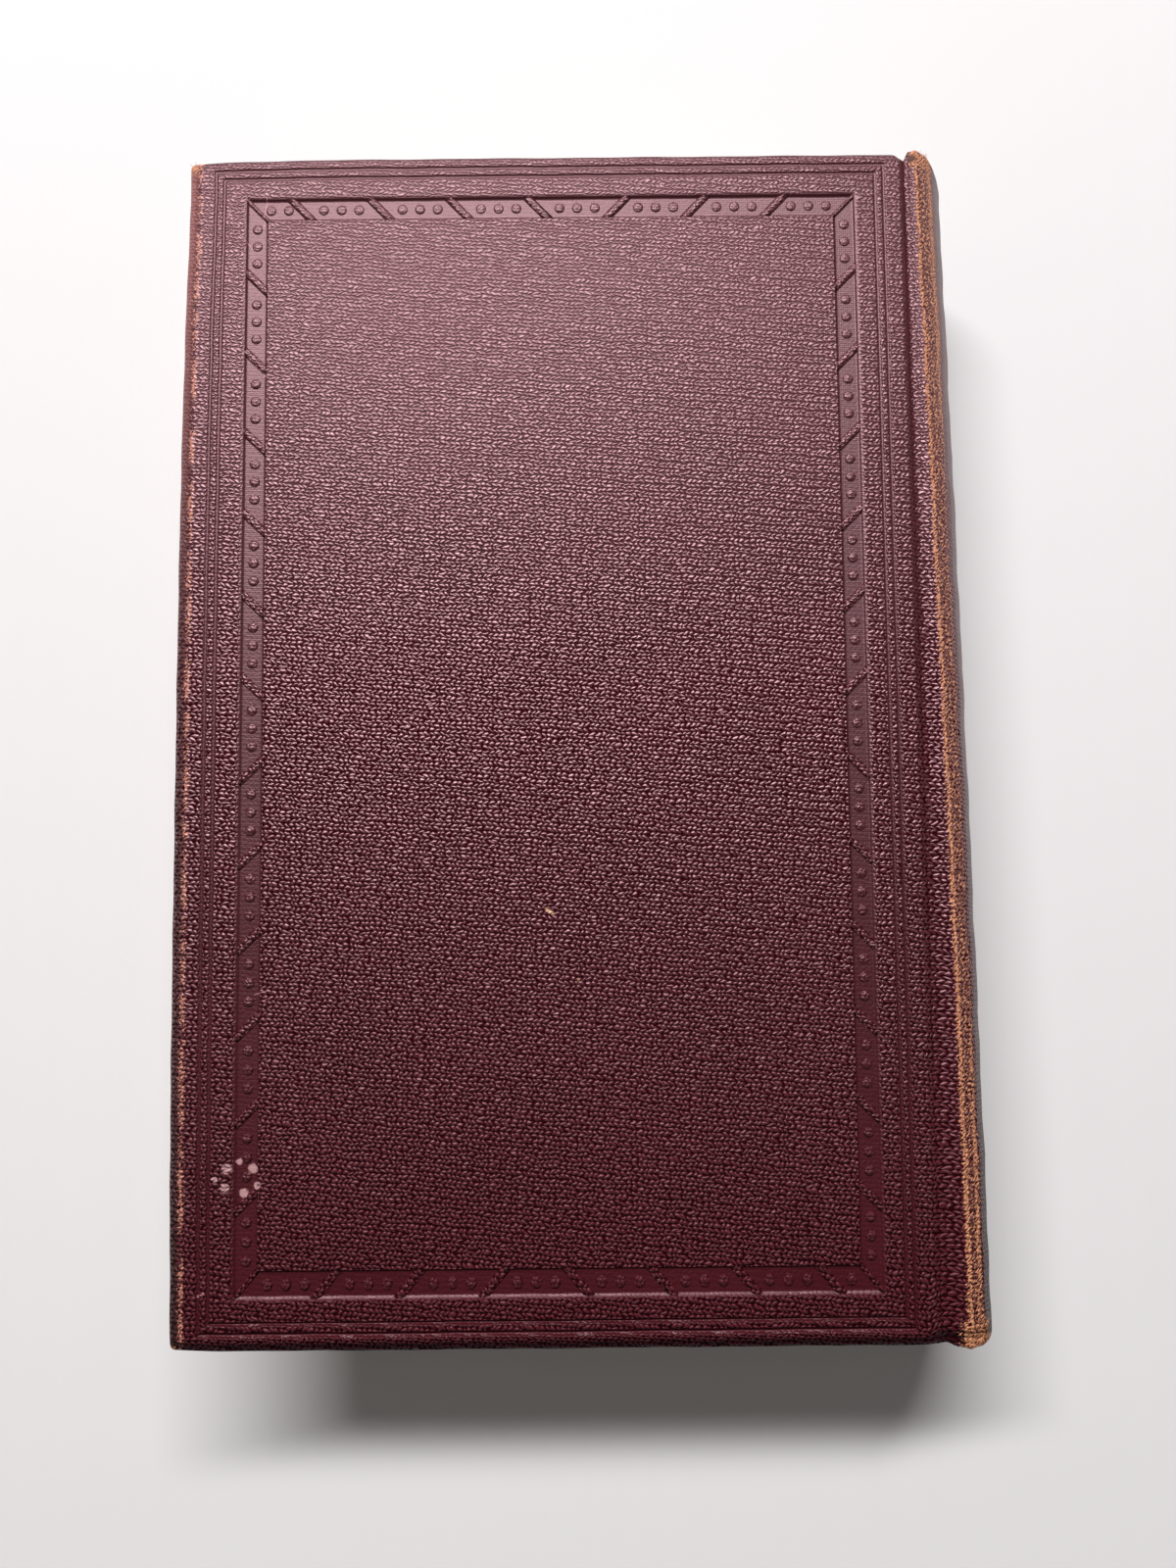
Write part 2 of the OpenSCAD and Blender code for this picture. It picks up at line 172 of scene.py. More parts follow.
def on_side(side, points, faces):
    """The shape itself for the back cover. For the front one Z changes sign, and each face turns round."""
    if side == "back":
        return points, faces
    return points * [1, 1, -1], [face[::-1] for face in faces]


def copied(faces, size, count):
    """Faces of count copies of a shape with size points."""
    return [[v + k * size for v in face] for k in range(count) for face in faces]


# Materials

PALE = (0.93, 0.93, 0.95, 1.0)


class Wire:
    """A node's output, which adds, subtracts and multiplies like a number by making Math nodes."""

    def __init__(self, net, socket):
        self.net, self.socket = net, socket

    def __add__(self, other):
        return self.net.math("ADD", self, other)

    def __sub__(self, other):
        return self.net.math("SUBTRACT", self, other)

    def __mul__(self, other):
        return self.net.math("MULTIPLY", self, other)

    __radd__, __rmul__ = __add__, __mul__

    def __rsub__(self, other):
        return self.net.math("SUBTRACT", other, self)


class Net:
    """The nodes of a new material or world, made by short calls that return Wires."""

    def __init__(self, name, kind="materials"):
        self.owner = getattr(bpy.data, kind).new(name)
        self.owner.use_nodes = True
        self.nodes, self.links = self.owner.node_tree.nodes, self.owner.node_tree.links
        self.nodes.clear()

    def make(self, kind, out=0, inputs=None, **settings):
        node = self.nodes.new("ShaderNode" + kind)
        for key, value in settings.items():
            setattr(node, key, value)
        for key, value in (inputs or {}).items():
            if isinstance(value, Wire):
                self.links.new(value.socket, node.inputs[key])
            else:
                node.inputs[key].default_value = value
        return Wire(self, node.outputs[out])

    def math(self, operation, *values, clamp=False):
        return self.make("Math", inputs=dict(enumerate(values)), operation=operation, use_clamp=clamp)

    def most(self, *values):
        total = values[0]
        for value in values[1:]:
            total = self.math("MAXIMUM", total, value)
        return total

    def distance(self, x, y, flat=1.0):
        """Length of (x, y), with x squared counted flat times."""
        return self.math("POWER", x * x * flat + y * y, 0.5)

    def step(self, value, low, high, to_low=0.0, to_high=1.0):
        """Soft step from to_low, where value is low, to to_high, where it is high. Low may be the larger."""
        inputs = {"Value": value, "From Min": low, "From Max": high, "To Min": to_low, "To Max": to_high}
        return self.make("MapRange", inputs=inputs, interpolation_type="SMOOTHSTEP")

    def bell(self, value, middle, half):
        """1 where value is middle, soft down to 0 at half to each side."""
        return self.step(self.math("ABSOLUTE", value - middle), half, 0.0)

    def fit(self, value, low, high, to_low, to_high):
        inputs = {"Value": value, "From Min": low, "From Max": high, "To Min": to_low, "To Max": to_high}
        return self.make("MapRange", inputs=inputs)

    def vector(self, x, y, z=0.0):
        return self.make("CombineXYZ", inputs={"X": x, "Y": y, "Z": z})

    def axes(self, place):
        """X, Y and Z of a vector as three Wires."""
        node = self.make("SeparateXYZ", inputs={0: place}).socket.node
        return [Wire(self, node.outputs[k]) for k in range(3)]

    def stretched(self, place, *scale):
        return self.make("Mapping", inputs={"Vector": place, "Scale": scale})

    def noise(self, place, scale, detail=2.0, roughness=0.5, out=0):
        inputs = {"Vector": place, "Scale": scale, "Detail": detail, "Roughness": roughness}
        return self.make("TexNoise", out, inputs)

    def cells(self, place, randomness):
        """Distance to the nearest of scattered points in the plane, about one to each unit square."""
        inputs = {"Vector": place, "Scale": 1.0, "Randomness": randomness}
        return self.make("TexVoronoi", 0, inputs, feature="F1", voronoi_dimensions="2D")

    def mix(self, share, first, second):
        inputs = {0: share, 6: first, 7: second}
        return self.make("Mix", 2, inputs, data_type="RGBA", clamp_factor=True)

    def bump(self, height, distance):
        """Normal of a surface that stands up by distance, in metres, where height is 1."""
        return self.make("Bump", inputs={"Height": height, "Distance": distance, "Strength": 1.0})

    def background_rays(self):
        """1 for camera, glossy and transmission rays: those see the pale background."""
        kinds = ("Camera", "Glossy", "Transmission")
        return self.most(*[self.make("LightPath", f"Is {kind} Ray") for kind in kinds])

    def surface(self, colour, roughness, normal, gloss=0.3, **fixed):
        """The surface shader. Values that are constant stand on its own sockets."""
        inputs = {"Base Color": colour, "Roughness": roughness, "Normal": normal, "Specular IOR Level": gloss}
        return self.make("BsdfPrincipled", inputs={**inputs, **fixed})

    def pick(self, share, first, second):
        return self.make("MixShader", inputs={0: share, 1: first, 2: second})

    def finish(self, shader, kind="Material"):
        """Leads the shader to the output, and returns the material or world."""
        output = self.nodes.new("ShaderNodeOutput" + kind)
        self.links.new(shader.socket, output.inputs["Surface"])
        return self.owner


def linear(red, green, blue):
    """Linear colour of screen values from 0 to 255."""
    screen = np.array([red, green, blue]) / 255
    values = np.where(screen <= 0.04045, screen / 12.92, ((screen + 0.055) / 1.055) ** 2.4)
    return (*values.tolist(), 1.0)


# Marks on the seen cover, in millimetres: pale spots with radius, then strokes with angle in degrees, half
# length and half width
SPOTS = [(-64.0, -77.1, 1.05), (-59.7, -77.15, 1.0), (-64.3, -80.5, 0.95), (-61.2, -81.35, 1.0),
         (-58.9, -80.0, 0.8), (-62.0, -75.9, 0.7), (-66.0, -78.9, 0.55)]
FLECKS = [(-7.2, -32.6, -35, 1.1, 0.4), (-2.1, -44.8, 0, 0.3, 0.3)]
SCRATCHES = [(-65.9, 97.2, -62, 1.4, 0.12), (-62.9, 92.3, -51, 2.4, 0.11), (-59.3, 98.6, 84, 4.6, 0.1),
             (-58.6, -46.5, 18, 1.6, 0.12), (-57.4, -47.6, 24, 1.2, 0.1), (-68.3, -98.0, 20, 0.8, 0.2)]


class ClothNet(Net):
    """Book cloth on its own map, in millimetres: across from the spine's ridge, along from the book's middle.
    Grain lies over the threads of the weave, and is flat where it was pressed by the stamp."""

    def __init__(self, name, look):
        super().__init__(name)
        self.look = look
        self.place = self.make("UVMap", uv_map="cloth")
        self.across, self.along, _ = self.axes(self.place)
        self.x = self.across + MAP_START
        self.gap = self.x - X_FORE
        self.share = self.fit(self.along, -COVER_HALF, COVER_HALF, 0.0, 1.0)
        self.pressed = self.make("Attribute", 2, attribute_name="pressed")
        self.grained = self.math("SUBTRACT", 1.0, self.pressed, clamp=True)
        self.pebble = self.pebbles()
        self.speck = self.noise(self.place, 2.6, 2.0, 0.6)
        turned = self.vector((self.across + self.along) * 0.95, (self.across - self.along) * 2.7)
        self.fleck = self.noise(turned, 1.0, 1.0, 0.5)
        self.spine_edge = self.tail_to_head(2.7, 6.2)
        self.on_spine = self.step(self.across - self.spine_edge, -0.5, 0.5)
        self.seam = self.step(self.across, SEAM - 2.5, SEAM - 0.5)

    def tail_to_head(self, tail, head):
        return self.fit(self.share, 0.0, 1.0, tail, head)

    def pebbles(self):
        """Packed domes a little wider than tall, in wavering staggered rows, with narrow dark valleys."""
        drift_x, drift_y, _ = self.axes(self.noise(self.place, 0.45, 2.0, out=1))
        wide = self.across * 1.04 + (drift_x - 0.5) * 1.6
        tall = self.along * (self.along * 0.00055 + 1.30) + (drift_y - 0.5) * 1.4 + self.across * 0.12
        stagger = self.math("SINE", tall * math.pi) * 0.27
        cell = self.cells(self.vector(wide + stagger, tall), 0.24)
        return self.math("SUBTRACT", 1.0, cell * cell * 2.9, clamp=True)

    def ridge_wear(self):
        """Worn threads of the ridge: two lines at the head that close to one, and a stripe at the tail."""
        across, share = self.across, self.share
        streak = self.noise(self.vector(across * 2.2, self.along * 0.3), 1.0, 3.0, 0.6)
        middle = self.tail_to_head(1.55, 3.3)
        at_tail, at_head = self.step(share, 0.45, 0.15), self.step(share, 0.62, 0.85)
        first = self.bell(across, -0.3, self.tail_to_head(1.05, 0.75)) * 0.70
        second = self.bell(across, middle, self.tail_to_head(1.25, 1.7)) * (at_head * 0.12 + 0.64)
        second = second * self.math("ADD", at_tail, at_head, clamp=True)
        dusted = self.step(self.math("ABSOLUTE", across - middle * 0.5), 2.0, 1.2) * 0.36 + at_head * 0.06
        worn = self.most(first, second, dusted) + (streak - 0.5) * 0.5
        worn = worn + (self.fleck - 0.5) * 2.2 + (self.speck - 0.5) * 0.9
        inside = self.step(across - self.spine_edge, 0.5, -0.4) * self.step(across, -1.8, -0.9)
        return self.step(worn, 0.42, 0.62) * inside

    def frayed(self, zone, share, low=0.42, full=0.3):
        """Where a worn zone, from 0 to 1, shows its threads: broken up by ragged flecks."""
        ragged = (self.fleck - 0.5) * 2.4 + (self.speck - 0.5) * 1.4
        return self.step(zone * share + ragged, low, 0.66) * self.step(zone, 0.0, full)

    def end_wear(self):
        """Worn caps of the spine, and worn corners of the board."""
        far = self.math("ABSOLUTE", self.along)
        caps = self.step(far - self.tail_to_head(104.4, 105.6) + (self.speck - 0.5) * 3.0, -0.6, 1.2)
        caps = caps * self.step(self.across, -2.6, -1.2) * self.step(self.across, 5.5, 3.2)
        corner = self.distance(self.gap, far - 107.6, 0.6)
        corner = corner + (self.speck - 0.5) * 2.6 + self.step(self.along, 0.0, -50.0) * 1.3
        return self.most(self.frayed(caps, 0.72), self.frayed(self.step(corner, 3.2, 1.3), 0.7))

    def fore_wear(self):
        """Flecks of worn thread along the fore-edge's roll."""
        stretch = self.noise(self.vector(self.along * 0.16, 3.0), 1.0, 3.0, 0.7)
        return self.frayed(self.bell(self.gap, 2.1, 0.95) * self.step(stretch, 0.36, 0.56), 0.72, 0.46, 0.25)

    def cloth_colour(self, tone, valley_shade, crease_shade):
        """Dyed cloth and the faded spine, with painted shade in pits and creases and painted light on the
        fore-edge.
        """
        share, look = self.share, self.look
        base = self.mix(tone + self.step(share, 0.5, 0.1) * 0.25, look.cloth_low, look.cloth_high)
        # The pit colour paints shade in the valleys between pebbles, on tail-facing stamped walls and on the
        # tail's rolled edge, and darkens the pressed band
        base = self.mix(self.most(valley_shade, self.pressed * 0.4, crease_shade), base, look.pit_shade)
        # Painted shade on the fore-edge's roll towards the tail, and a painted highlight on it towards the
        # head
        uneven = self.gap + (self.speck - 0.5)
        edge = self.step(uneven, 2.0, 0.9) * self.step(uneven, -2.6, -1.0)
        base = self.mix(edge * self.tail_to_head(0.75, 0.0), base, linear(50, 36, 30))
        base = self.mix(edge * self.step(share, 0.5, 1.0) * 0.7, base, linear(168, 108, 104))
        # The spine's faded cloth, darker towards the tail as painted shade, with painted shade in its pits
        faded = self.mix(share, linear(96, 88, 86), look.spine_fade)
        faded = self.mix(valley_shade * (1.0 - self.seam) * 0.35, faded, linear(52, 40, 38))
        base = self.mix(self.on_spine, base, faded)
        ridge = self.step(self.across, -1.6, -0.6) * (1.0 - self.on_spine)
        return self.mix(ridge * 0.5, base, linear(84, 26, 30))

    def worn_colour(self, base, bare):
        """The base colour with bared threads, painted shade in the hollow of the head's cap, and fore-edge
        flecks.
        """
        tone = self.step(self.speck + self.fleck, 0.7, 1.3)
        thread = self.mix(tone, self.look.thread_low, self.look.thread_high)
        # Painted shade in the hollow under the head's cap
        cap_hollow_shade = self.step(self.distance(self.across + 1.2, self.along - 107.5, 0.5), 0.95, 0.35)
        colour = self.mix(cap_hollow_shade * 0.85, self.mix(bare, base, thread), linear(52, 20, 16))
        return self.mix(self.fore_wear() * 0.8, colour, linear(222, 152, 130))

    def marked_colour(self, colour):
        """The seen cover's pale spots, flecks and scratches."""
        warp = self.noise(self.place, 1.6, 2.0, 0.6) - 0.5
        spots = []
        for x, y, radius in SPOTS:
            reach = self.distance(self.x - x, self.along - y) + warp * 0.9
            spots.append(self.step(reach, radius, radius * 0.55))
        colour = self.mix(self.most(*spots) * 0.62, colour, linear(226, 176, 178))
        strokes_seen = (FLECKS, 0.8, linear(224, 176, 140)), (SCRATCHES, 0.5, linear(214, 150, 152))
        for strokes, strength, tint in strokes_seen:
            lines = []
            for x, y, angle, length, width in strokes:
                c, s = math.cos(math.radians(angle)), math.sin(math.radians(angle))
                dx, dy = self.x - x, self.along - y
                run = self.math("ABSOLUTE", dx * c + dy * s)
                side = self.math("ABSOLUTE", dy * c - dx * s + warp * 0.5)
                lines.append(self.step(run, length, length * 0.6) * self.step(side, width, width * 0.5))
            colour = self.mix(self.most(*lines) * strength, colour, tint)
        return colour

    def relief_height(self, plain, bare):
        """Grain, threads and bared threads over the rolled edges, higher towards the tail."""
        share, fine = self.share, self.noise(self.place, 2.9, 3.0, 0.6)
        warp, weft = (self.math("SINE", way) for way in (self.across * 16.3, self.along * 16.3 + fine))
        threads = warp * 0.5 + weft * 0.5
        tallness = (share * 0.744 - 1.672) * share + 1.15
        height = self.pebble * (self.grained * 0.94 + 0.06) * (1.0 - plain) * tallness
        height = height + threads * (self.pressed * 0.012 + 0.01) + (fine - 0.5) * 0.05
        weave = height * (1.0 - bare * 0.5) + bare * self.fleck * 0.5
        roll = self.step(self.gap, 2.4, 0.4) * self.tail_to_head(1.0, 0.3)
        return weave - (roll + self.step(self.along, -105.4, -107.6)) * 3.2

    def cloth(self, marked):
        """The whole material. Marks are on the seen cover only."""
        share, grained = self.share, self.grained
        plain = self.most(self.on_spine * 0.45, self.seam)
        bare = self.most(self.ridge_wear(), self.end_wear())
        tone = self.noise(self.place, 0.045, 4.0, 0.55)
        wall = self.make("Attribute", 2, attribute_name="wall")
        # Painted shade on stamped walls that face the tail, and on the tail's rolled edge
        crease_shade = self.most(wall, self.step(self.along, -105.7, -106.9) * 0.85)
        lit = self.math("MULTIPLY", wall, -1.0, clamp=True)
        # Painted shade in the valleys between the pebbles, less towards the head
        valley_shade = self.step(self.pebble, 0.60, 0.15) * (grained * 0.8 + 0.1) * self.tail_to_head(1.0, 0.6)
        colour = self.worn_colour(self.cloth_colour(tone, valley_shade, crease_shade), bare)
        if marked:
            colour = self.marked_colour(colour)
        rough = self.fit(self.pebble * grained, 0.0, 1.0, 0.46, 0.36) + (tone - 0.5) * 0.08 + bare * 0.4
        rough = rough + self.on_spine * 0.10 + self.step(share, 0.5, 0.0) * 0.08 - lit * 0.08
        hidden = self.step(self.pebble, 0.75, 0.22) * (1.0 - plain) * grained
        hidden = hidden * self.step(share, 0.95, 0.5, 0.32, 1.0)
        dull = self.most(hidden, self.pressed * self.tail_to_head(0.65, 0.1), crease_shade * 0.7, bare * 0.4)
        at_tail, at_head = self.fit(share, 0.0, 0.45, 0.12, 0.70), 1.14 - share * 0.71
        shine = (1.0 - dull) * self.math("MINIMUM", at_tail, at_head) + lit * 0.35
        normal = self.bump(self.relief_height(plain, bare), 0.00036)
        fixed = {"Specular Tint": self.look.gloss_tint, "IOR": 2.0}
        return self.finish(self.surface(colour, self.math("MINIMUM", rough, 0.9), normal, shine, **fixed))


def paper_material(name, low, high, rough=0.75):
    """Aged paper: felted fibres, soft clouds of tone, small brown specks, and a fine tooth."""
    net = Net(name)
    place = net.make("TexCoord", "Object")
    cloud = net.noise(place, 22.0, 4.0, 0.6)
    fibre = net.noise(net.stretched(place, 900, 240, 900), 1.0, 4.0, 0.7)
    speck = net.step(net.noise(place, 320.0, 2.0, 0.6), 0.70, 0.80)
    blot = net.step(net.noise(place, 70.0, 3.0, 0.7), 0.62, 0.80)
    colour = net.mix(cloud, low, high)
    colour = net.mix(speck * 0.35 + blot * 0.25, colour, linear(158, 112, 66))
    colour = net.mix(net.step(fibre, 0.45, 0.7) * 0.2, colour, linear(250, 240, 218))
    return net.finish(net.surface(colour, fibre * 0.15 + (rough - 0.08), net.bump(fibre, 0.00006)))


def leaf_material(look):
    """Edges of the leaves: fine layers square to Z, uneven in tone, with painted shade in the gaps and dust in
    clouds.
    """
    net = Net("page_edges")
    place = net.make("TexCoord", "Object")
    x, y, z = net.axes(place)
    waver = net.noise(net.vector(x * 60.0, y * 22.0, z * 40.0), 1.0, 2.0, 0.5)
    level = z * 1000.0 + (waver - 0.5) * 0.35
    leaves = net.noise(net.vector(x * 3.0, y * 3.0, level * 7.0), 1.0, 2.0, 0.8)
    sections = net.noise(net.vector(x * 2.0, y * 2.0, level * 1.1), 1.0, 1.0, 0.5)
    cloud = net.noise(place, 26.0, 3.0, 0.6)
    colour = net.mix(leaves * 0.6 + sections * 0.5, look.leaf_low, look.leaf_high)
    # Painted shade in the gaps between the leaves
    colour = net.mix(net.step(leaves, 0.40, 0.28) * 0.55, colour, linear(120, 88, 56))
    colour = net.mix(net.step(cloud, 0.48, 0.7) * 0.3, colour, linear(176, 138, 94))
    normal = net.bump(leaves + sections * 0.6, 0.00022)
    return net.finish(net.surface(colour, leaves * 0.1 + 0.72, normal))


def weave_material(name, low, high, pitch, depth):
    """Open plain weave of round threads, pitch and depth in millimetres, on Object coordinates."""
    net = Net(name)
    place = net.make("TexCoord", "Object")
    x, y, z = net.axes(place)
    uneven = net.noise(place, 180.0, 2.0, 0.6)
    turn = 2 * math.pi / (pitch * MM)
    warp, weft = (net.math("SINE", way * turn + uneven * 3.0) for way in (x + z, y))
    cover = net.most(warp, weft)
    colour = net.mix(net.step(cover, -0.6, 0.7), low, high)
    colour = net.mix(uneven * 0.3, colour, low)
    return net.finish(net.surface(colour, uneven * 0.2 + 0.72, net.bump(cover, depth * MM)))


def board_material():
    """Grey-brown millboard: pressed fibres with pale and dark flecks."""
    net = Net("millboard")
    place = net.make("TexCoord", "Object")
    grain = net.noise(place, 900.0, 5.0, 0.7)
    fleck = net.step(net.noise(place, 420.0, 2.0, 0.5), 0.62, 0.72)
    colour = net.mix(grain, linear(112, 92, 70), linear(158, 134, 104))
    colour = net.mix(fleck * 0.5, colour, linear(78, 62, 48))
    return net.finish(net.surface(colour, grain * 0.2 + 0.7, net.bump(grain, 0.0001)))


def headband_material():
    """Stripes of faded red and cream silk round a core, each of fine threads, along the back's curve."""
    net = Net("headband_silk")
    place = net.make("TexCoord", "Object")
    x, y, z = net.axes(place)
    turn = net.math("ARCTAN2", z - HALF_T * MM, x - SPINE_C * MM)
    run = turn * (BACK_R / 1.5)
    stripe = net.step(net.math("SINE", run * math.pi), -0.25, 0.25)
    thread = net.math("SINE", run * math.pi * 7.0 + y * 2500.0)
    tone = net.noise(place, 300.0, 3.0, 0.6)
    colour = net.mix(stripe, linear(142, 58, 52), linear(206, 184, 142))
    colour = net.mix(tone * 0.45, colour, linear(120, 92, 70))
    return net.finish(net.surface(colour, tone * 0.2 + 0.5, net.bump(thread + tone, 0.00012), 0.4))


# Covering cloth


def lean(y, z_share):
    """How far the spine has slumped in X at y, for a share of 0 at the spine's middle and 1 at its ridge."""
    t = y / COVER_HALF
    ridge = 0.40 - 1.74 * t - 0.44 * t * t
    back = -0.40 - 1.15 * t - 0.35 * t * t
    return back + (ridge - back) * z_share + 0.10 * waves(y, 5, (31.0, 17.0, 9.3))


def fullness(y, across):
    """How far the cloth stands out round the ridge, square to itself: most at the tail."""
    share = bump_step(across, -0.2, 2.8) * (1 - bump_step(across, 3.6, 12.0))
    return (0.75 - 0.25 * y / COVER_HALF) * share


def relief(x, y):
    """Stamped depth at x, y: a flat sunk band round the field and two fine lines outside it. Each is a
    function of the distance outside a rectangle. The second value is how far the grain is pressed flat."""

    def outside(low, high):
        return np.maximum.reduce([low[0] - x, x - high[0], low[1] - y, y - high[1]])

    gap = outside(FIELD_LOW, FIELD_HIGH)
    band = bump_step(gap, 0.0, 0.22) * (1 - bump_step(gap, BAND_W - BAND_WALL, BAND_W))
    flat = 0.93 * bump_step(gap, 0.0, 0.22) * (1 - bump_step(gap, BAND_W - 0.05, BAND_W + 0.3))
    depth = BAND_D * band
    for inset in (0.0, LINE_STEP):
        gap = -outside(LINE_LOW + inset, LINE_HIGH - inset)
        line = bump_step(gap, 0.0, LINE_WALL) * (1 - bump_step(gap, LINE_W - LINE_WALL, LINE_W))
        past_x, past_y = (np.abs(p - LINE_MID[k]) - LINE_SIZE[k] / 2 for k, p in enumerate((x, y)))
        deep = LINE_D * np.where(past_x > past_y, 0.6, np.where(y < 0, 1.7, 0.6))
        depth, flat = depth + deep * line, np.maximum(flat, line * 0.95)
    return depth, flat


def walls(x, y):
    """How much a stamped wall faces the tail, above 0, or the head, below 0, from the depth's slope along Y.
    It is weaker near the head."""
    reach = 0.1
    below, above = (relief(x, y + d)[0] for d in (-reach, reach))
    return np.clip((below - above) / (2 * reach), -1, 1) * np.interp(y, [-100, 100], [0.9, 0.4])


def stations(low, high, step, marks):
    """Sorted places from low to high: all the marks, and others between them no further than step apart."""
    fixed = np.unique(np.round([low, high, *[m for m in marks if low < m < high]], 4))
    runs = [np.linspace(a, b, max(1, math.ceil((b - a) / step)) + 1)[:-1] for a, b in zip(fixed, fixed[1:])]
    return np.concatenate([*runs, [high]])


def stamp_marks(axis):
    """Places along an axis where the border's relief starts, turns or ends."""
    places = []
    band_marks = (-0.6, -0.1, 0, 0.07, 0.15, 0.22, 0.6, 2, 3.5, 3.65, 3.8, 3.95, 4.1, 4.6)
    line_marks = (-0.15, 0, 0.12, 0.25, 0.38, 0.52, 0.65, 0.78, 0.9, 1.05)
    for edge, side in ((FIELD_LOW[axis], -1), (FIELD_HIGH[axis], 1)):
        places += [edge + side * d for d in band_marks]
    for inset in (0.0, LINE_STEP):
        for edge, side in ((LINE_LOW[axis] + inset, 1), (LINE_HIGH[axis] - inset, -1)):
            places += [edge + side * d for d in line_marks]
    return places


def bulge(x, y):
    """Old covers aren't straight: the fore-edge bellies out, and the head edge falls towards its corner."""
    near_fore = 1 - bump_step(x, X_FORE, FIELD_LOW[0])
    fore = np.minimum(-0.95 * (1 - np.abs((y + 12) / 104) ** 3.2), 0.25)
    fore = fore + 0.05 * waves(y, 8, (23.0, 11.0))
    near_head = bump_step(y, FIELD_HIGH[1], COVER_HALF)
    head = 0.5 - 0.85 * np.exp(-(x - X_FORE) / 9.0) + 0.05 * waves(x, 9, (27.0, 13.0))
    near_tail = 1 - bump_step(y, -COVER_HALF, FIELD_LOW[1])
    tail = 0.05 * waves(x, 10, (29.0, 12.0)) - 0.2 + 0.4 * np.exp(-(x - X_FORE) / 7.0)
    spread = np.interp(FIELD_LOW[1] - y, [0, 4.1, 8.8, 10.4, 13.4], [0, 0.75, 0.6, 0.95, 0])
    board = 1 - bump_step(x, X_JOINT - 0.9, X_JOINT + 0.9)
    return fore * near_fore, (head * near_head + tail * near_tail - spread) * board


def end_reach(x, across, side):
    """Half length of the cloth at each place of the section. Past the board it is a little less at the head
    and more at the tail. The cap over the ridge stands up most, and it falls along the round of the spine."""
    fall = bump_step(x, X_JOINT - 1.0, X_JOINT + 0.8) * (0.4, -0.35)[side < 0]
    cap = bump_step(across, -3.6, -2.2) * (1 - 0.85 * bump_step(across, 0.2, 8.0))
    crumple = 0.10 * waves(across, 21 + side, (4.7, 2.6)) * cap
    return COVER_HALF - fall + (1.6, 0.9)[side < 0] * cap + crumple


def cloth_section():
    """Outer section from the fore-edge's top to the middle of the spine: face, groove, roll over the ridge,
    then the spine's arc. Gives places, outward normals and length across from the ridge's crest."""
    flat_x = stations(X_FORE + EDGE_R, X_JOINT - JOINT_LIP, 3.2, stamp_marks(0))
    groove_x = np.linspace(X_JOINT - JOINT_LIP, X_RIDGE, 19)[1:]
    roll = np.linspace(math.pi / 2, RIDGE_ANGLE, ROLL_STEPS + 1)[1:]
    arc = np.linspace(RIDGE_ANGLE, 0, 30)[1:]
    rolls = (X_RIDGE + RIDGE_R * np.cos(roll), RIDGE_Z + RIDGE_R * np.sin(roll))
    arcs = (SPINE_C + SPINE_R * np.cos(arc), SPINE_R * np.sin(arc))
    x = np.concatenate([flat_x, groove_x, rolls[0], arcs[0]])
    z = np.concatenate([np.full(len(flat_x), HALF_T), HALF_T - groove(groove_x), rolls[1], arcs[1]])
    run = np.concatenate([[0], np.cumsum(np.hypot(np.diff(x), np.diff(z)))])
    tangent = np.stack([np.gradient(x, run), np.gradient(z, run)], -1)
    tangent /= np.linalg.norm(tangent, axis=1, keepdims=True)
    normal = np.stack([-tangent[:, 1], tangent[:, 0]], -1)
    return x, z, normal, run - run[len(flat_x) + len(groove_x) + CREST_STEP]


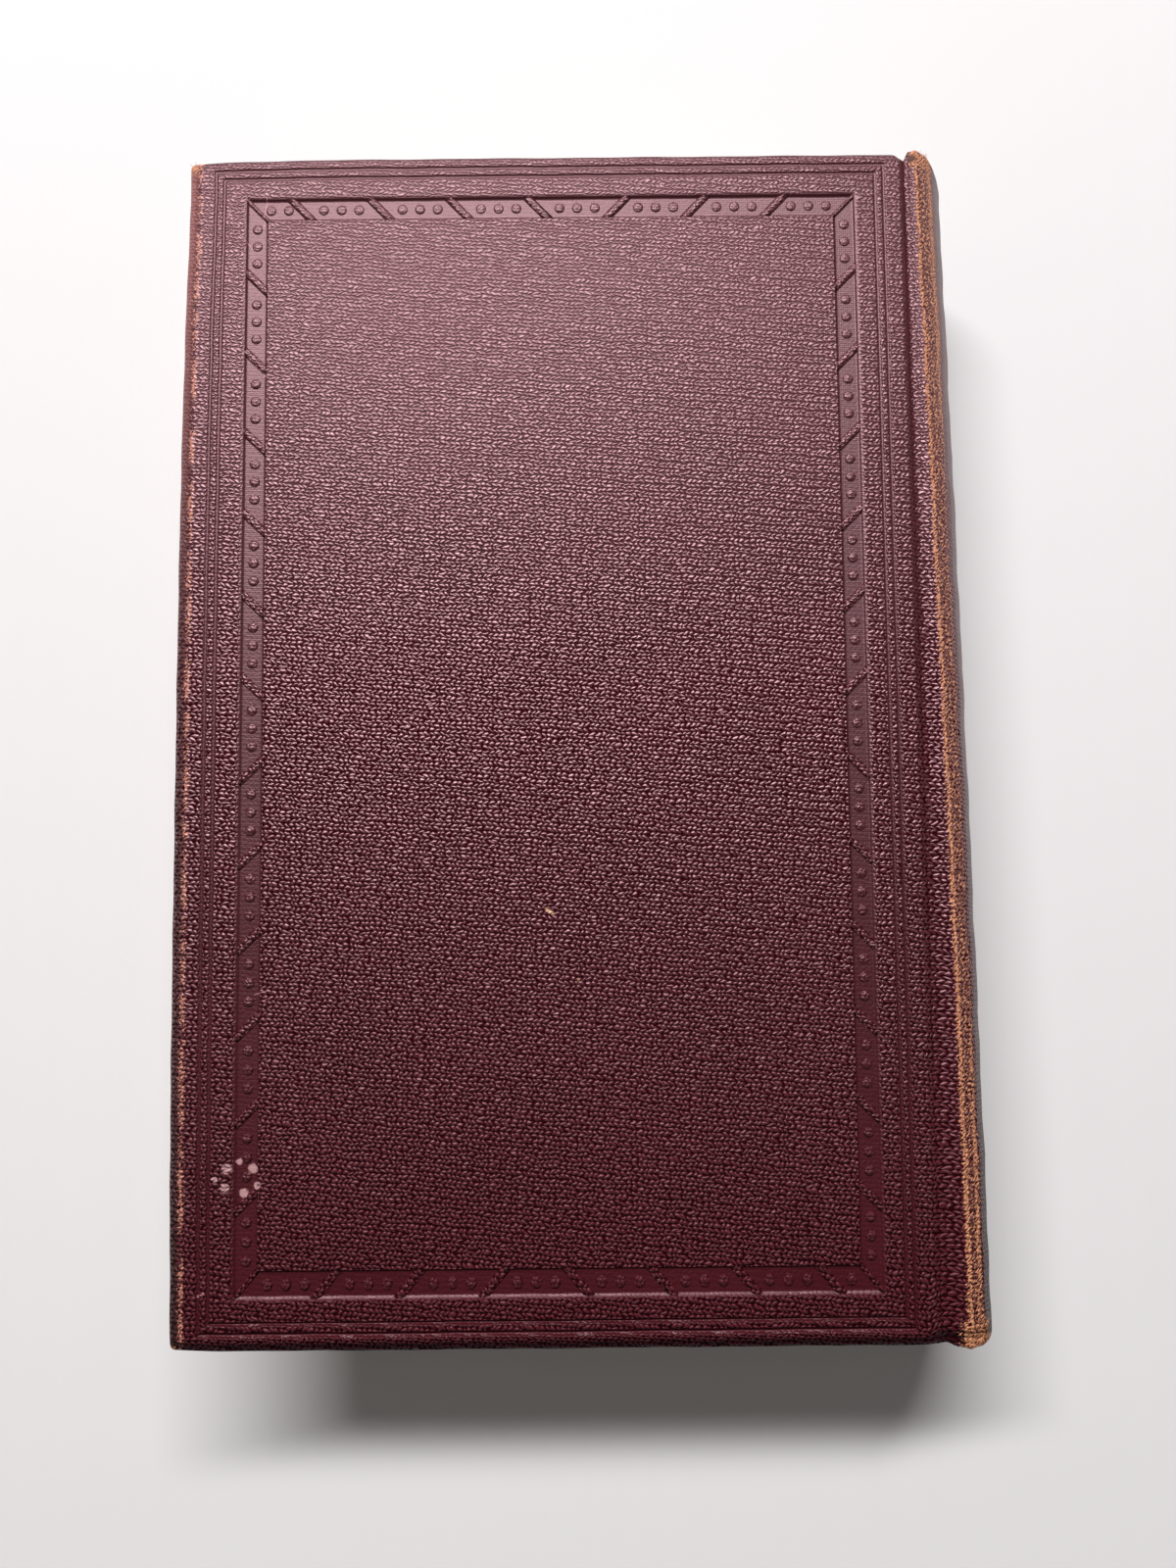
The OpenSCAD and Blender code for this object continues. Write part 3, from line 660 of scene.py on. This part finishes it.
def cloth_shape():
    """One half of the covering cloth: a grid over the cover's face, joint and spine, and a rim of rows that
    rolls over each outer edge and turns in underneath. A rim row lies at (out, down) from the face's edge:
    a quarter round, the edge's height, a second quarter round, then straight in to the turned-in width."""
    x, z, normal, across = cloth_section()
    reach_y = COVER_HALF - EDGE_R
    y = stations(-reach_y, reach_y, 2.8, stamp_marks(1))
    on_spine = bump_step(x, X_JOINT, X_RIDGE)
    beyond = np.clip(across, 0, None) / across[-1]
    thick = np.interp(across, [-6.6, -4.6, -0.4, 1.6], [2 * CLOTH_T + BOARD_T, 1.0, 1.0, 1.8])
    radius = np.minimum(EDGE_R + (CAP_R - EDGE_R) * on_spine, 0.6 * thick)
    grid_x = np.repeat(x[:, None], len(y), 1)
    grid_y = np.zeros_like(grid_x)
    for side in (-1, 1):
        half = y * side > 0
        straight = np.abs(y[half])
        extra = (end_reach(x, across, side) - radius - reach_y)[:, None]
        grid_y[:, half] = side * (straight + extra * bump_step(straight, reach_y - 9, reach_y))
    depth, flat = relief(grid_x, grid_y)
    board = (x < X_JOINT - JOINT_LIP)[:, None]
    shift_x, shift_y = bulge(grid_x, grid_y)
    shift_x = shift_x + lean(grid_y, (1 - beyond)[:, None]) * on_spine[:, None]
    full = fullness(grid_y, across[:, None])
    lift = full * normal[:, 1:] - depth * board
    points = np.stack([grid_x + shift_x + full * normal[:, :1], grid_y + shift_y, z[:, None] + lift], -1)
    uv = np.stack([np.repeat(across[:, None], len(y), 1), grid_y], -1)

    # The rim's columns run from the spine at the head round the cover to the spine at the tail
    nx, ny = len(x), len(y)
    index = np.arange(nx * ny).reshape(nx, ny)
    turn = np.radians(np.linspace(0, 90, 9)[1:-1])
    corner = np.zeros(len(turn), int)
    head = np.tile([0.0, 1.0], (nx, 1))
    fore = np.tile([-1.0, 0.0], (ny, 1))
    out = np.concatenate([
        head, np.stack([-np.sin(turn), np.cos(turn)], -1), fore,
        np.stack([-np.cos(turn), -np.sin(turn)], -1), -head,
    ])
    edges = [index[::-1, -1], index[0, -1] + corner, index[0, ::-1], index[0, 0] + corner, index[:, 0]]
    base = np.concatenate(edges)
    column = np.concatenate([np.arange(nx)[::-1], corner, np.zeros(ny, int), corner, np.arange(nx)])
    base_uv = uv.reshape(-1, 2)[base]
    r, d = radius[column], thick[column]
    low_r = np.minimum(INNER_EDGE_R, (d - r) * 0.95)
    at_end, at_fore = np.abs(out[:, 1]) > 0.999, np.abs(out[:, 0]) > 0.999
    mitre = np.where(at_end, x[column] - x[0], reach_y - np.abs(base_uv[:, 1])).clip(0)
    inward = np.minimum(np.where(across[column] > -2.0, CAP_TURN, TURN_IN) - r, mitre) * (at_end | at_fore)
    quarter = np.linspace(0, np.pi / 2, 7)
    rows = [(r * math.sin(a), r * (1 - math.cos(a))) for a in quarter[1:]]
    rows += [(r - low_r * (1 - math.cos(a)), d - low_r * (1 - math.sin(a))) for a in quarter]
    rows += [((r - low_r) * (1 - share) - inward * share, d) for share in (0.2, 0.5, 0.8, 1.0)]
    outs, downs = np.array([row[0] for row in rows]), np.array([row[1] for row in rows])
    flat_out = np.concatenate([out, np.zeros((len(out), 1))], 1)
    down = np.stack([-normal[column, 0], np.zeros(len(column)), -normal[column, 1]], -1)
    rim = points.reshape(-1, 3)[base] + outs[..., None] * flat_out + downs[..., None] * down
    length = np.cumsum(np.hypot(np.diff(outs, axis=0, prepend=0), np.diff(downs, axis=0, prepend=0)), 0)
    rim_uv = base_uv + length[..., None] * out
    rim_index = nx * ny + np.arange(outs.size).reshape(outs.shape)
    faces = grid_faces(index) + grid_faces(np.concatenate([base[None], rim_index]))
    points = np.concatenate([points.reshape(-1, 3), rim.reshape(-1, 3)])
    uv = np.concatenate([uv.reshape(-1, 2), rim_uv.reshape(-1, 2)])
    rim_rest = np.zeros(outs.size)
    # wall: how much a stamped wall faces the tail; the cloth's colour paints shade where it does
    marks = {"pressed": flat * board, "wall": walls(grid_x, grid_y) * board}
    return points, faces, uv, {key: np.concatenate([value.ravel(), rim_rest]) for key, value in marks.items()}


def thicken(piece, thickness):
    """Gives a sheet its thickness inwards, with closed edges."""
    wall = piece.modifiers.new("thickness", "SOLIDIFY")
    wall.thickness, wall.offset, wall.use_rim = thickness * MM, -1.0, True
    return piece


# Dots and bars


def border_stops(side, axis):
    """Bars along one side of the border, and the ends where the mitres are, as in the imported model."""
    length = FIELD_SIZE[axis]
    step, shift = (15.2, 7.6) if axis == 1 else (14.7, -2.4 if side > 0 else 3.4)
    places = shift + step * np.arange(-20, 21)
    ends = (length + BAND_W) / 2
    return np.concatenate([[-ends], places[np.abs(places) < length / 2 - 4.5], [ends]])


def border_places():
    """Plan places of the dots, and place, slant and axis of the bars, all round the border. A mitre's bar
    has 2 for its axis."""
    dots, bars = [], []
    off = (FIELD_SIZE + BAND_W) / 2
    for side in (-1, 1):
        for axis in (0, 1):
            stops = border_stops(side, axis)
            fixed = np.full(len(stops), side * off[1 - axis])
            at = FIELD_MID + np.stack([stops, fixed] if axis == 0 else [fixed, stops], -1)
            for a, b in zip(at, at[1:]):
                gap = np.linalg.norm(b - a)
                count = min(3, round(gap / DOT_PITCH) - 1)
                if count > 0:
                    run = (np.arange(count) - (count - 1) / 2) * DOT_PITCH
                    dots += [(a + b) / 2 + t * (b - a) / gap for t in run]
            for place in at[1:-1]:
                bars.append((place, np.sign(np.prod(place - FIELD_MID)), axis))
        for other in (-1, 1):
            bars.append((FIELD_MID + [side * off[0], other * off[1]], side * other, 2))
    return np.array(dots), bars


def dot_shapes(dots):
    """Low domes, each of five rings and a top, with a closed foot sunk in the band's floor. They are
    uneven, and stand up more towards the tail."""
    rings, sides, top_rise = np.array([1.0, 0.99, 0.9, 0.68, 0.36]), 14, 0.32
    rise = np.repeat(np.array([FOOT, 0.0, 0.15, 0.25, 0.305])[:, None], sides, 1)
    angle = np.arange(sides) * 2 * np.pi / sides
    radius = DOT_R * rings[:, None]
    ring = np.stack([radius * np.cos(angle), radius * np.sin(angle), rise], -1)
    shape = np.concatenate([ring.reshape(-1, 3), [[0, 0, top_rise]]])
    index = np.arange(rise.size).reshape(rise.shape)
    index = np.concatenate([index, index[:, :1]], 1)
    last = index[-1].tolist()
    faces = [face[::-1] for face in grid_faces(index)] + [[a, b, rise.size] for a, b in zip(last, last[1:])]
    faces.append(index[0, :-1][::-1].tolist())
    places = np.concatenate([dots, np.full((len(dots), 1), HALF_T - BAND_D)], 1)
    uneven = np.random.default_rng(12).uniform(0.85, 1.08, len(dots))
    uneven = uneven * np.interp(dots[:, 1], [-100, 0, 100], [1.5, 1.0, 0.6])
    stretch = np.stack([np.ones_like(uneven), np.ones_like(uneven), uneven], -1)
    points = shape * stretch[:, None] + places[:, None]
    return points.reshape(-1, 3), copied(faces, len(shape), len(dots))


def bar_shapes(bars):
    """Slanting bars: t runs across the band and w over the bar's width, and the top is BAR_H (1 - |w|^4)."""
    t, w = np.meshgrid(np.linspace(-1, 1, 9), [-1, -0.96, -0.8, -0.4, 0, 0.4, 0.8, 0.96, 1], indexing="ij")
    rise = BAR_H * (1 - np.abs(w) ** 4)
    rise[:, [0, -1]] = FOOT
    points, faces = [], []
    index = np.arange(t.size).reshape(t.shape)
    outer = np.concatenate([index[:, 0], index[-1, 1:], index[::-1, -1][1:], index[0, ::-1][1:-1]])
    for k, (place, slant, axis) in enumerate(bars):
        if axis == 2:
            way = np.array([1.0, slant]) * BAND_W / 2
            wide = np.array([-slant, 1.0]) * MITRE_W / 2
        else:
            cross = np.array([1.0, 0.0]) if axis == 1 else np.array([0.0, 1.0])
            run = cross[::-1]
            way = (cross + slant * run) * BAND_W / 2
            wide = run * BAR_W / math.sqrt(2) * (1 if axis == 1 else -1)
        plan = place + t[..., None] * way + w[..., None] * wide
        points.append(np.concatenate([plan, HALF_T - BAND_D + rise[..., None]], -1).reshape(-1, 3))
        turned = np.cross(way, wide) < 0
        own = grid_faces(index) + [outer[::-1].tolist()]
        faces += [[int(v) + k * t.size for v in (face[::-1] if turned else face)] for face in own]
    return np.concatenate(points), faces


# Papers of the joint, spine card, loose threads


def swept(section, half_length, rows):
    """A strip: a line in X and Z carried along Y."""
    y = np.broadcast_to(np.linspace(-half_length, half_length, rows)[:, None], (rows, len(section)))
    x, z = (np.broadcast_to(section[:, k], y.shape) for k in (0, 1))
    return np.stack([x, y, z], -1).reshape(-1, 3), grid_faces(np.arange(y.size).reshape(y.shape))


def paste_shape():
    """The pasted endpaper: z is the turned-in cloth's level, with a soft step down to the board inside it,
    and a lower step over the net glued down beside the joint."""
    inner, end = X_FORE + TURN_IN, X_JOINT - CLOTH_T
    window_half, flap = COVER_HALF - TURN_IN, end - FLAP_W
    fore, edge = X_FORE + PASTE_MARGIN, COVER_HALF - PASTE_MARGIN
    marks = [fore + 0.2, fore + 0.8, end - 0.2, *(inner + PASTE_STEPS), *(flap - PASTE_STEPS)]
    x = stations(fore, end, 4.0, marks)
    marks = [edge - 0.2, edge - 0.8, *(window_half - PASTE_STEPS), *(FLAP_HALF + PASTE_STEPS)]
    half = stations(0, edge, 4.0, marks)
    y = np.concatenate([-half[:0:-1], half])
    x, y = np.meshgrid(x, y, indexing="ij")
    far = np.abs(y)
    fall = CLOTH_T * (1 - bump_step(far, window_half - PASTE_FALL, window_half))
    fall = fall * bump_step(x, inner, inner + PASTE_FALL)
    net = bump_step(x, flap - PASTE_FALL, flap) * (1 - bump_step(far, FLAP_HALF, FLAP_HALF + PASTE_FALL))
    z = PASTE_LOW + fall - np.minimum(fall, FLAP_T) * net + 0.02 * waves(x + 0.7 * y, 17, (41.0, 23.0))
    return np.stack([x, y, z], -1).reshape(-1, 3), grid_faces(np.arange(x.size).reshape(x.shape).T)


def smooth_line(knots, count):
    """Curve through knots: each coordinate is a Catmull-Rom cubic of the knot number."""
    knots = np.asarray(knots, float)
    ends = np.concatenate([[2 * knots[0] - knots[1]], knots, [2 * knots[-1] - knots[-2]]])
    t = np.linspace(0, len(knots) - 1, count)
    k = np.minimum(t.astype(int), len(knots) - 2)
    f = (t - k)[:, None]
    a, b, c, d = (ends[k + j] for j in range(4))
    return b + f * (c - a) / 2 + f**2 * (2 * a - 5 * b + 4 * c - d) / 2 + f**3 * (3 * b - a - 3 * c + d) / 2


def fibres(starts, ways, lengths, seed):
    """Loose threads: each axis is start + way t + bend t^2, with a square section that thins to its tip."""
    draw = np.random.default_rng(seed)
    count, steps, sides, curl, thick = len(starts), 7, 4, 0.6, 0.05
    t = np.linspace(0, 1, steps)[None, :, None]
    bend = draw.normal(0, curl, (count, 1, 3)) * lengths[:, None, None]
    axis = starts[:, None] + ways[:, None] * lengths[:, None, None] * t + bend * t**2
    along = np.gradient(axis, axis=1)
    along /= np.linalg.norm(along, axis=2, keepdims=True)
    first = np.cross(along, [0.31, 0.52, 0.79])
    first /= np.linalg.norm(first, axis=2, keepdims=True)
    second = np.cross(along, first)
    angle = np.arange(sides) * 2 * np.pi / sides
    radius = thick * (1.05 - t[..., None] ** 2) * draw.uniform(0.6, 1.2, (count, 1, 1, 1))
    ring = first[:, :, None] * np.cos(angle)[:, None] + second[:, :, None] * np.sin(angle)[:, None]
    points = axis[:, :, None] + ring * radius
    index = np.arange(steps * sides).reshape(steps, sides)
    closed = np.concatenate([index, index[:, :1]], 1)
    one = [face[::-1] for face in grid_faces(closed)] + [index[0].tolist(), index[-1][::-1].tolist()]
    return points.reshape(-1, 3), copied(one, steps * sides, count)


# Tools


def colour_prop(name, description, default):
    return bpy.props.FloatVectorProperty(
        name=name, description=description, default=(*default, 1.0), subtype="COLOR", size=4, min=0.0, max=1.0
    )


def length_prop(name, description, default):
    return bpy.props.FloatProperty(
        name=name, description=description, default=default, unit="LENGTH", subtype="DISTANCE", min=0.0
    )


def power_prop(name, description, default):
    return bpy.props.FloatProperty(name=name, description=description, default=default, min=0.0, unit="POWER")


class ClothLook(bpy.types.PropertyGroup):
    """Colours and thickness of the covering cloth"""

    cloth_low: colour_prop("Cloth, dark", "Darker tone of the dyed cloth", (0.060, 0.0048, 0.0088))
    cloth_high: colour_prop("Cloth, light", "Lighter tone of the dyed cloth", (0.100, 0.0120, 0.0190))
    # Painted shade: the colour of the pebbles' pits, tail-facing walls and the tail's edge
    pit_shade: colour_prop("Cloth, pits", "Tone between the grain's pebbles", (0.013, 0.0011, 0.0024))
    spine_fade: colour_prop("Spine", "Cloth of the spine, greyed by light", (0.135, 0.092, 0.090))
    thread_low: colour_prop("Thread, dark", "Worn thread, darker tone", (0.30, 0.090, 0.038))
    thread_high: colour_prop("Thread, light", "Worn thread, lighter tone", (0.86, 0.400, 0.215))
    gloss_tint: colour_prop("Gloss", "Tint of the cloth's gloss", (1.0, 0.64, 0.69))
    thickness: length_prop("Cloth thickness", "Thickness of the covering cloth", 0.00045)


class PaperLook(bpy.types.PropertyGroup):
    """Colours of the leaves and endpapers"""

    leaf_low: colour_prop("Leaf edge, dark", "Darker tone of the leaves' edges", (0.40, 0.29, 0.17))
    leaf_high: colour_prop("Leaf edge, light", "Lighter tone of the leaves' edges", (0.72, 0.61, 0.43))
    end_low: colour_prop("Endpaper, dark", "Darker tone of the endpapers", (0.56, 0.44, 0.27))
    end_high: colour_prop("Endpaper, light", "Lighter tone of the endpapers", (0.68, 0.57, 0.39))
    paper_t: length_prop("Paper thickness", "Thickness of an endpaper", 0.00025)


class StageLook(bpy.types.PropertyGroup):
    """Table, lamps and camera"""

    window_power: power_prop("Window", "Power of the soft window lamp beyond the head", 39.0)
    side_power: power_prop("Side", "Power of the soft lamp above the head", 0.8)
    floor_colour: colour_prop("Table", "Colour of the pale table", (0.86, 0.845, 0.85))
    lens: length_prop("Lens", "Focal length of the camera", 0.0263)


class BOOK_OT_covering(bpy.types.Operator):
    """Make both halves of the covering cloth"""

    bl_idname = "book.covering"
    bl_label = "Covering cloth"

    def execute(self, context):
        look = context.scene.cloth_look
        points, faces, uv, marks = cloth_shape()
        for side in SIDES:
            material = ClothNet(side + "_cloth", look).cloth(marked=side == "back")
            half = put_mesh(side + "_covering", *on_side(side, points, faces), material, uv, marks)
            thicken(half, look.thickness / MM)
            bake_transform(half)
            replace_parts(half, side + "_cloth", "spine_cloth")
        return {"FINISHED"}


class BOOK_OT_stamping(bpy.types.Operator):
    """Make the raised dots and slanting bars of the border"""

    bl_idname = "book.stamping"
    bl_label = "Dots and bars"

    def execute(self, context):
        dots, bars = border_places()
        for kind, (points, faces) in (("dots", dot_shapes(dots)), ("bars", bar_shapes(bars))):
            shift_x, shift_y = bulge(points[:, 0], points[:, 1])
            uv = points[:, :2] - [MAP_START, 0]
            points = points + np.stack([shift_x, shift_y, 0 * shift_x], -1)
            marks = {"pressed": np.full(len(points), {"dots": 0.5, "bars": 0.1}[kind])}
            for side in SIDES:
                material = bpy.data.materials[side + "_cloth"]
                piece = put_mesh(f"{side}_border_{kind}", *on_side(side, points, faces), material, uv, marks)
                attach(piece, side + "_cover")
        return {"FINISHED"}


class BOOK_OT_joint_papers(bpy.types.Operator):
    """Make the endpaper that lines each joint, from the pasted leaf to the shoulder of the pages"""

    bl_idname = "book.joint_papers"
    bl_label = "Joint papers"

    def execute(self, context):
        look = context.scene.paper_look
        paper = bpy.data.materials["endpaper"]
        over = [(58.45, 16.85), (58.95, 17.2), (59.05, 18.2), (59.5, 18.7), (60.6, 18.75), (61.75, 18.74)]
        over.append((62.5, 18.8))
        down = [(62.62, 18.72), (62.2, 18.35), (61.4, 17.4), (60.6, 16.85), (59.6, 16.66)]
        for side in SIDES:
            for name, knots in (("joint", over), ("shoulder", down)):
                shape = on_side(side, *swept(smooth_line(knots, 27), LEAF_HALF - 0.2, 31))
                strip = put_mesh(f"{side}_{name}_paper", *shape, paper)
                thicken(strip, look.paper_t / MM * 0.6)
                if name == "joint":
                    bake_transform(strip)
                else:
                    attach(strip, "book_block")
        return {"FINISHED"}


class BOOK_OT_spine_card(bpy.types.Operator):
    """Make the card strip inside the spine, which leans as the cloth does"""

    bl_idname = "book.spine_card"
    bl_label = "Spine card"

    def execute(self, context):
        turn = np.linspace(-1, 1, 41) * (RIDGE_ANGLE - math.radians(4))
        y = np.linspace(-1, 1, 60) * (COVER_HALF - 1.2)
        angle, height = np.meshgrid(turn, y, indexing="ij")
        reach = INLAY_R - 0.03
        shift = lean(height, np.abs(angle) / RIDGE_ANGLE)
        points = np.stack([SPINE_C + reach * np.cos(angle) + shift, height, reach * np.sin(angle)], -1)
        faces = grid_faces(np.arange(angle.size).reshape(angle.shape).T)
        card = put_mesh("spine_card", points, faces, board_material())
        thicken(card, INLAY_T - 0.1)
        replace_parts(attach(card, "book_block"), "spine_inlay")
        return {"FINISHED"}


class BOOK_OT_papers(bpy.types.Operator):
    """Finish the leaves, endpapers, linings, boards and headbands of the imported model"""

    bl_idname = "book.papers"
    bl_label = "Leaves and linings"

    def execute(self, context):
        look = context.scene.paper_look
        end = paper_material("endpaper", look.end_low, look.end_high)
        card = paper_material("lining_paper", linear(150, 122, 88), linear(186, 160, 122), 0.85)
        mull = weave_material("mull_net", linear(120, 104, 80), linear(214, 202, 172), 1.1, 0.25)
        tape = weave_material("linen_tape", linear(176, 158, 124), linear(216, 202, 168), 0.5, 0.12)
        wear = {
            "pages": leaf_material(look), "sewing_tapes": tape, "spine_mull": mull, "spine_lining": card,
            "back_board": board_material(), "head_band": headband_material(),
        }
        wear["front_board"], wear["tail_band"] = wear["back_board"], wear["head_band"]
        for side in SIDES:
            wear.update({side + "_flyleaf": end, side + "_mull_flap": mull})
        for name, material in wear.items():
            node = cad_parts[name]
            node.data.materials.clear()
            node.data.materials.append(material)
        shape = paste_shape()
        for side in SIDES:
            leaf = put_mesh(side + "_pasted_leaf", *on_side(side, *shape), end)
            thicken(leaf, look.paper_t / MM * 0.8)
            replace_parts(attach(leaf, side + "_cover"), side + "_pastedown")
        return {"FINISHED"}


class BOOK_OT_threads(bpy.types.Operator):
    """Make the loose threads at the caps and the corners"""

    bl_idname = "book.threads"
    bl_label = "Loose threads"

    def execute(self, context):
        look = context.scene.cloth_look
        net = Net("loose_thread")
        tone = net.noise(net.make("TexCoord", "Object"), 900.0, 2.0, 0.6)
        colour = net.mix(tone, look.thread_low, look.thread_high)
        normal = net.bump(tone, 0.00005)
        material = net.finish(net.surface(colour, tone * 0.2 + 0.6, normal, 0.5, **{"Sheen Weight": 0.3}))
        groups = (
            ("head_cap", 60, (63.4, 108.3, 19.2), (1.6, 0.4, 0.5), (0.1, 0.75, 0.15), 0.42, 31),
            ("tail_cap", 36, (66.4, -108.2, 19.2), (1.5, 0.3, 0.5), (0.1, -0.6, 0.1), 0.3, 32),
            ("head_corner", 34, (-72.6, 106.9, 19.6), (0.8, 0.5, 0.4), (-0.4, 0.7, 0.2), 0.4, 33),
            ("tail_corner", 14, (-72.6, -106.9, 19.6), (0.7, 0.5, 0.4), (-0.5, -0.5, 0.2), 0.3, 34),
        )
        for name, count, middle, spread, way, length, seed in groups:
            draw = np.random.default_rng(seed)
            starts = np.array(middle) + draw.uniform(-1, 1, (count, 3)) * spread
            ways = np.array(way) + draw.normal(0, 0.45, (count, 3))
            points, faces = fibres(starts, ways, length * draw.uniform(0.4, 1.3, count), seed + 50)
            piece = put_mesh(name + "_threads", points, faces, material)
            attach(piece, "book_block" if "cap" in name else "back_cover")
        return {"FINISHED"}


class BOOK_OT_stage(bpy.types.Operator):
    """Make the pale table, the lamps, the surroundings with pale walls and a dim ceiling, and the camera"""

    bl_idname = "book.stage"
    bl_label = "Stage"

    def link(self, name, data):
        item = bpy.data.objects.new(name, data)
        bpy.context.scene.collection.objects.link(item)
        return item

    def lamp(self, name, power, size, bearing, colour):
        """An area lamp at a bearing right of the head and a height above the table, in degrees."""
        side, height = np.radians(bearing)
        flat = math.cos(height)
        way = np.array([math.sin(side) * flat, math.cos(side) * flat, math.sin(height)])
        data = bpy.data.lights.new(name, "AREA")
        data.energy, data.color, data.shape = power, colour, "RECTANGLE"
        data.size, data.size_y = size
        lamp = self.link(name, data)
        lamp.location = LAMP_REACH * way
        lamp.rotation_euler = (math.pi / 2 - height, 0, math.pi - side)

    def table(self, look):
        """A pale table, which fades into the pale background well outside the book's shadow."""
        net = Net("pale_table")
        place = net.make("TexCoord", "Object")
        grain = net.noise(net.stretched(place, 160, 6, 1), 1.0, 4.0, 0.6)
        colour = net.mix(grain, [c * 0.985 for c in look.floor_colour], look.floor_colour)
        lit = net.surface(colour, grain * 0.1 + 0.6, net.bump(grain, 0.0001), 0.15)
        x, y, _ = net.axes(place)
        far = net.step(net.distance(x, y), FADE_START, FADE_END)
        pale = net.make("Emission", inputs={"Color": PALE})
        material = net.finish(net.pick(net.background_rays() * far, lit, pale))
        reach = np.linspace(-TABLE_REACH, TABLE_REACH, 33)
        x, y = np.meshgrid(reach, reach, indexing="ij")
        points = np.stack([x, y, np.zeros_like(x)], -1) / MM - [0, 0, HALF_T]
        return put_mesh("table", points, grid_faces(np.arange(x.size).reshape(x.shape)), material)

    def surroundings(self):
        """Pale for the camera, pale walls and a dim ceiling in reflections, even light for the rest."""
        net = Net("surroundings", "worlds")
        height = net.axes(net.make("TexCoord", "Generated"))[2]
        walls = net.step(height, 0.08, 0.32, 1.0, 0.07)
        strength = net.most(walls, net.make("LightPath", "Is Camera Ray"))
        seen = net.make("Background", inputs={"Color": PALE, "Strength": strength})
        room = net.make("Background", inputs={"Color": (1.0, 0.97, 0.94, 1.0), "Strength": 0.09})
        return net.finish(net.pick(net.background_rays(), room, seen), "World")

    def execute(self, context):
        look, scene = context.scene.stage_look, context.scene
        scene.view_settings.view_transform = "Standard"
        self.table(look)
        scene.world = self.surroundings()
        self.lamp("window", look.window_power, (1.45, 0.17), (-12, 51), (1.0, 0.985, 0.99))
        self.lamp("side", look.side_power, (0.8, 0.8), (-20, 76), (1.0, 1.0, 1.0))
        data = bpy.data.cameras.new("camera")
        data.lens, data.sensor_width, data.clip_start = look.lens / MM, 36.0, 0.01
        camera = self.link("camera", data)
        camera.location, camera.rotation_euler = CAMERA_PLACE, np.radians(CAMERA_TURN)
        scene.camera = camera
        return {"FINISHED"}


class BOOK_PT_tools(bpy.types.Panel):
    """Lists the book's tools and looks"""

    bl_label = "Cloth-bound book"
    bl_idname = "BOOK_PT_tools"
    bl_space_type = "VIEW_3D"
    bl_region_type = "UI"
    bl_category = "Book"

    def draw(self, context):
        for operator in OPERATORS:
            self.layout.operator(operator.bl_idname)
        for name in LOOKS:
            look = getattr(context.scene, name)
            for key in type(look).__annotations__:
                self.layout.prop(look, key)


LOOKS = {"cloth_look": ClothLook, "paper_look": PaperLook, "stage_look": StageLook}
OPERATORS = (
    BOOK_OT_stage, BOOK_OT_spine_card, BOOK_OT_covering, BOOK_OT_stamping, BOOK_OT_papers,
    BOOK_OT_joint_papers, BOOK_OT_threads,
)


def register():
    for name, group in LOOKS.items():
        bpy.utils.register_class(group)
        setattr(bpy.types.Scene, name, bpy.props.PointerProperty(type=group))
    for tool in (*OPERATORS, BOOK_PT_tools):
        bpy.utils.register_class(tool)


def unregister():
    for tool in (BOOK_PT_tools, *reversed(OPERATORS)):
        bpy.utils.unregister_class(tool)
    for name, group in LOOKS.items():
        delattr(bpy.types.Scene, name)
        bpy.utils.unregister_class(group)


def main():
    """Registers the tools and makes every piece in order."""
    register()
    bpy.ops.book.stage()
    bpy.ops.book.papers()
    bpy.ops.book.spine_card()
    bpy.ops.book.covering()
    bpy.ops.book.stamping()
    bpy.ops.book.joint_papers()
    bpy.ops.book.threads()


if __name__ == "__main__":
    main()
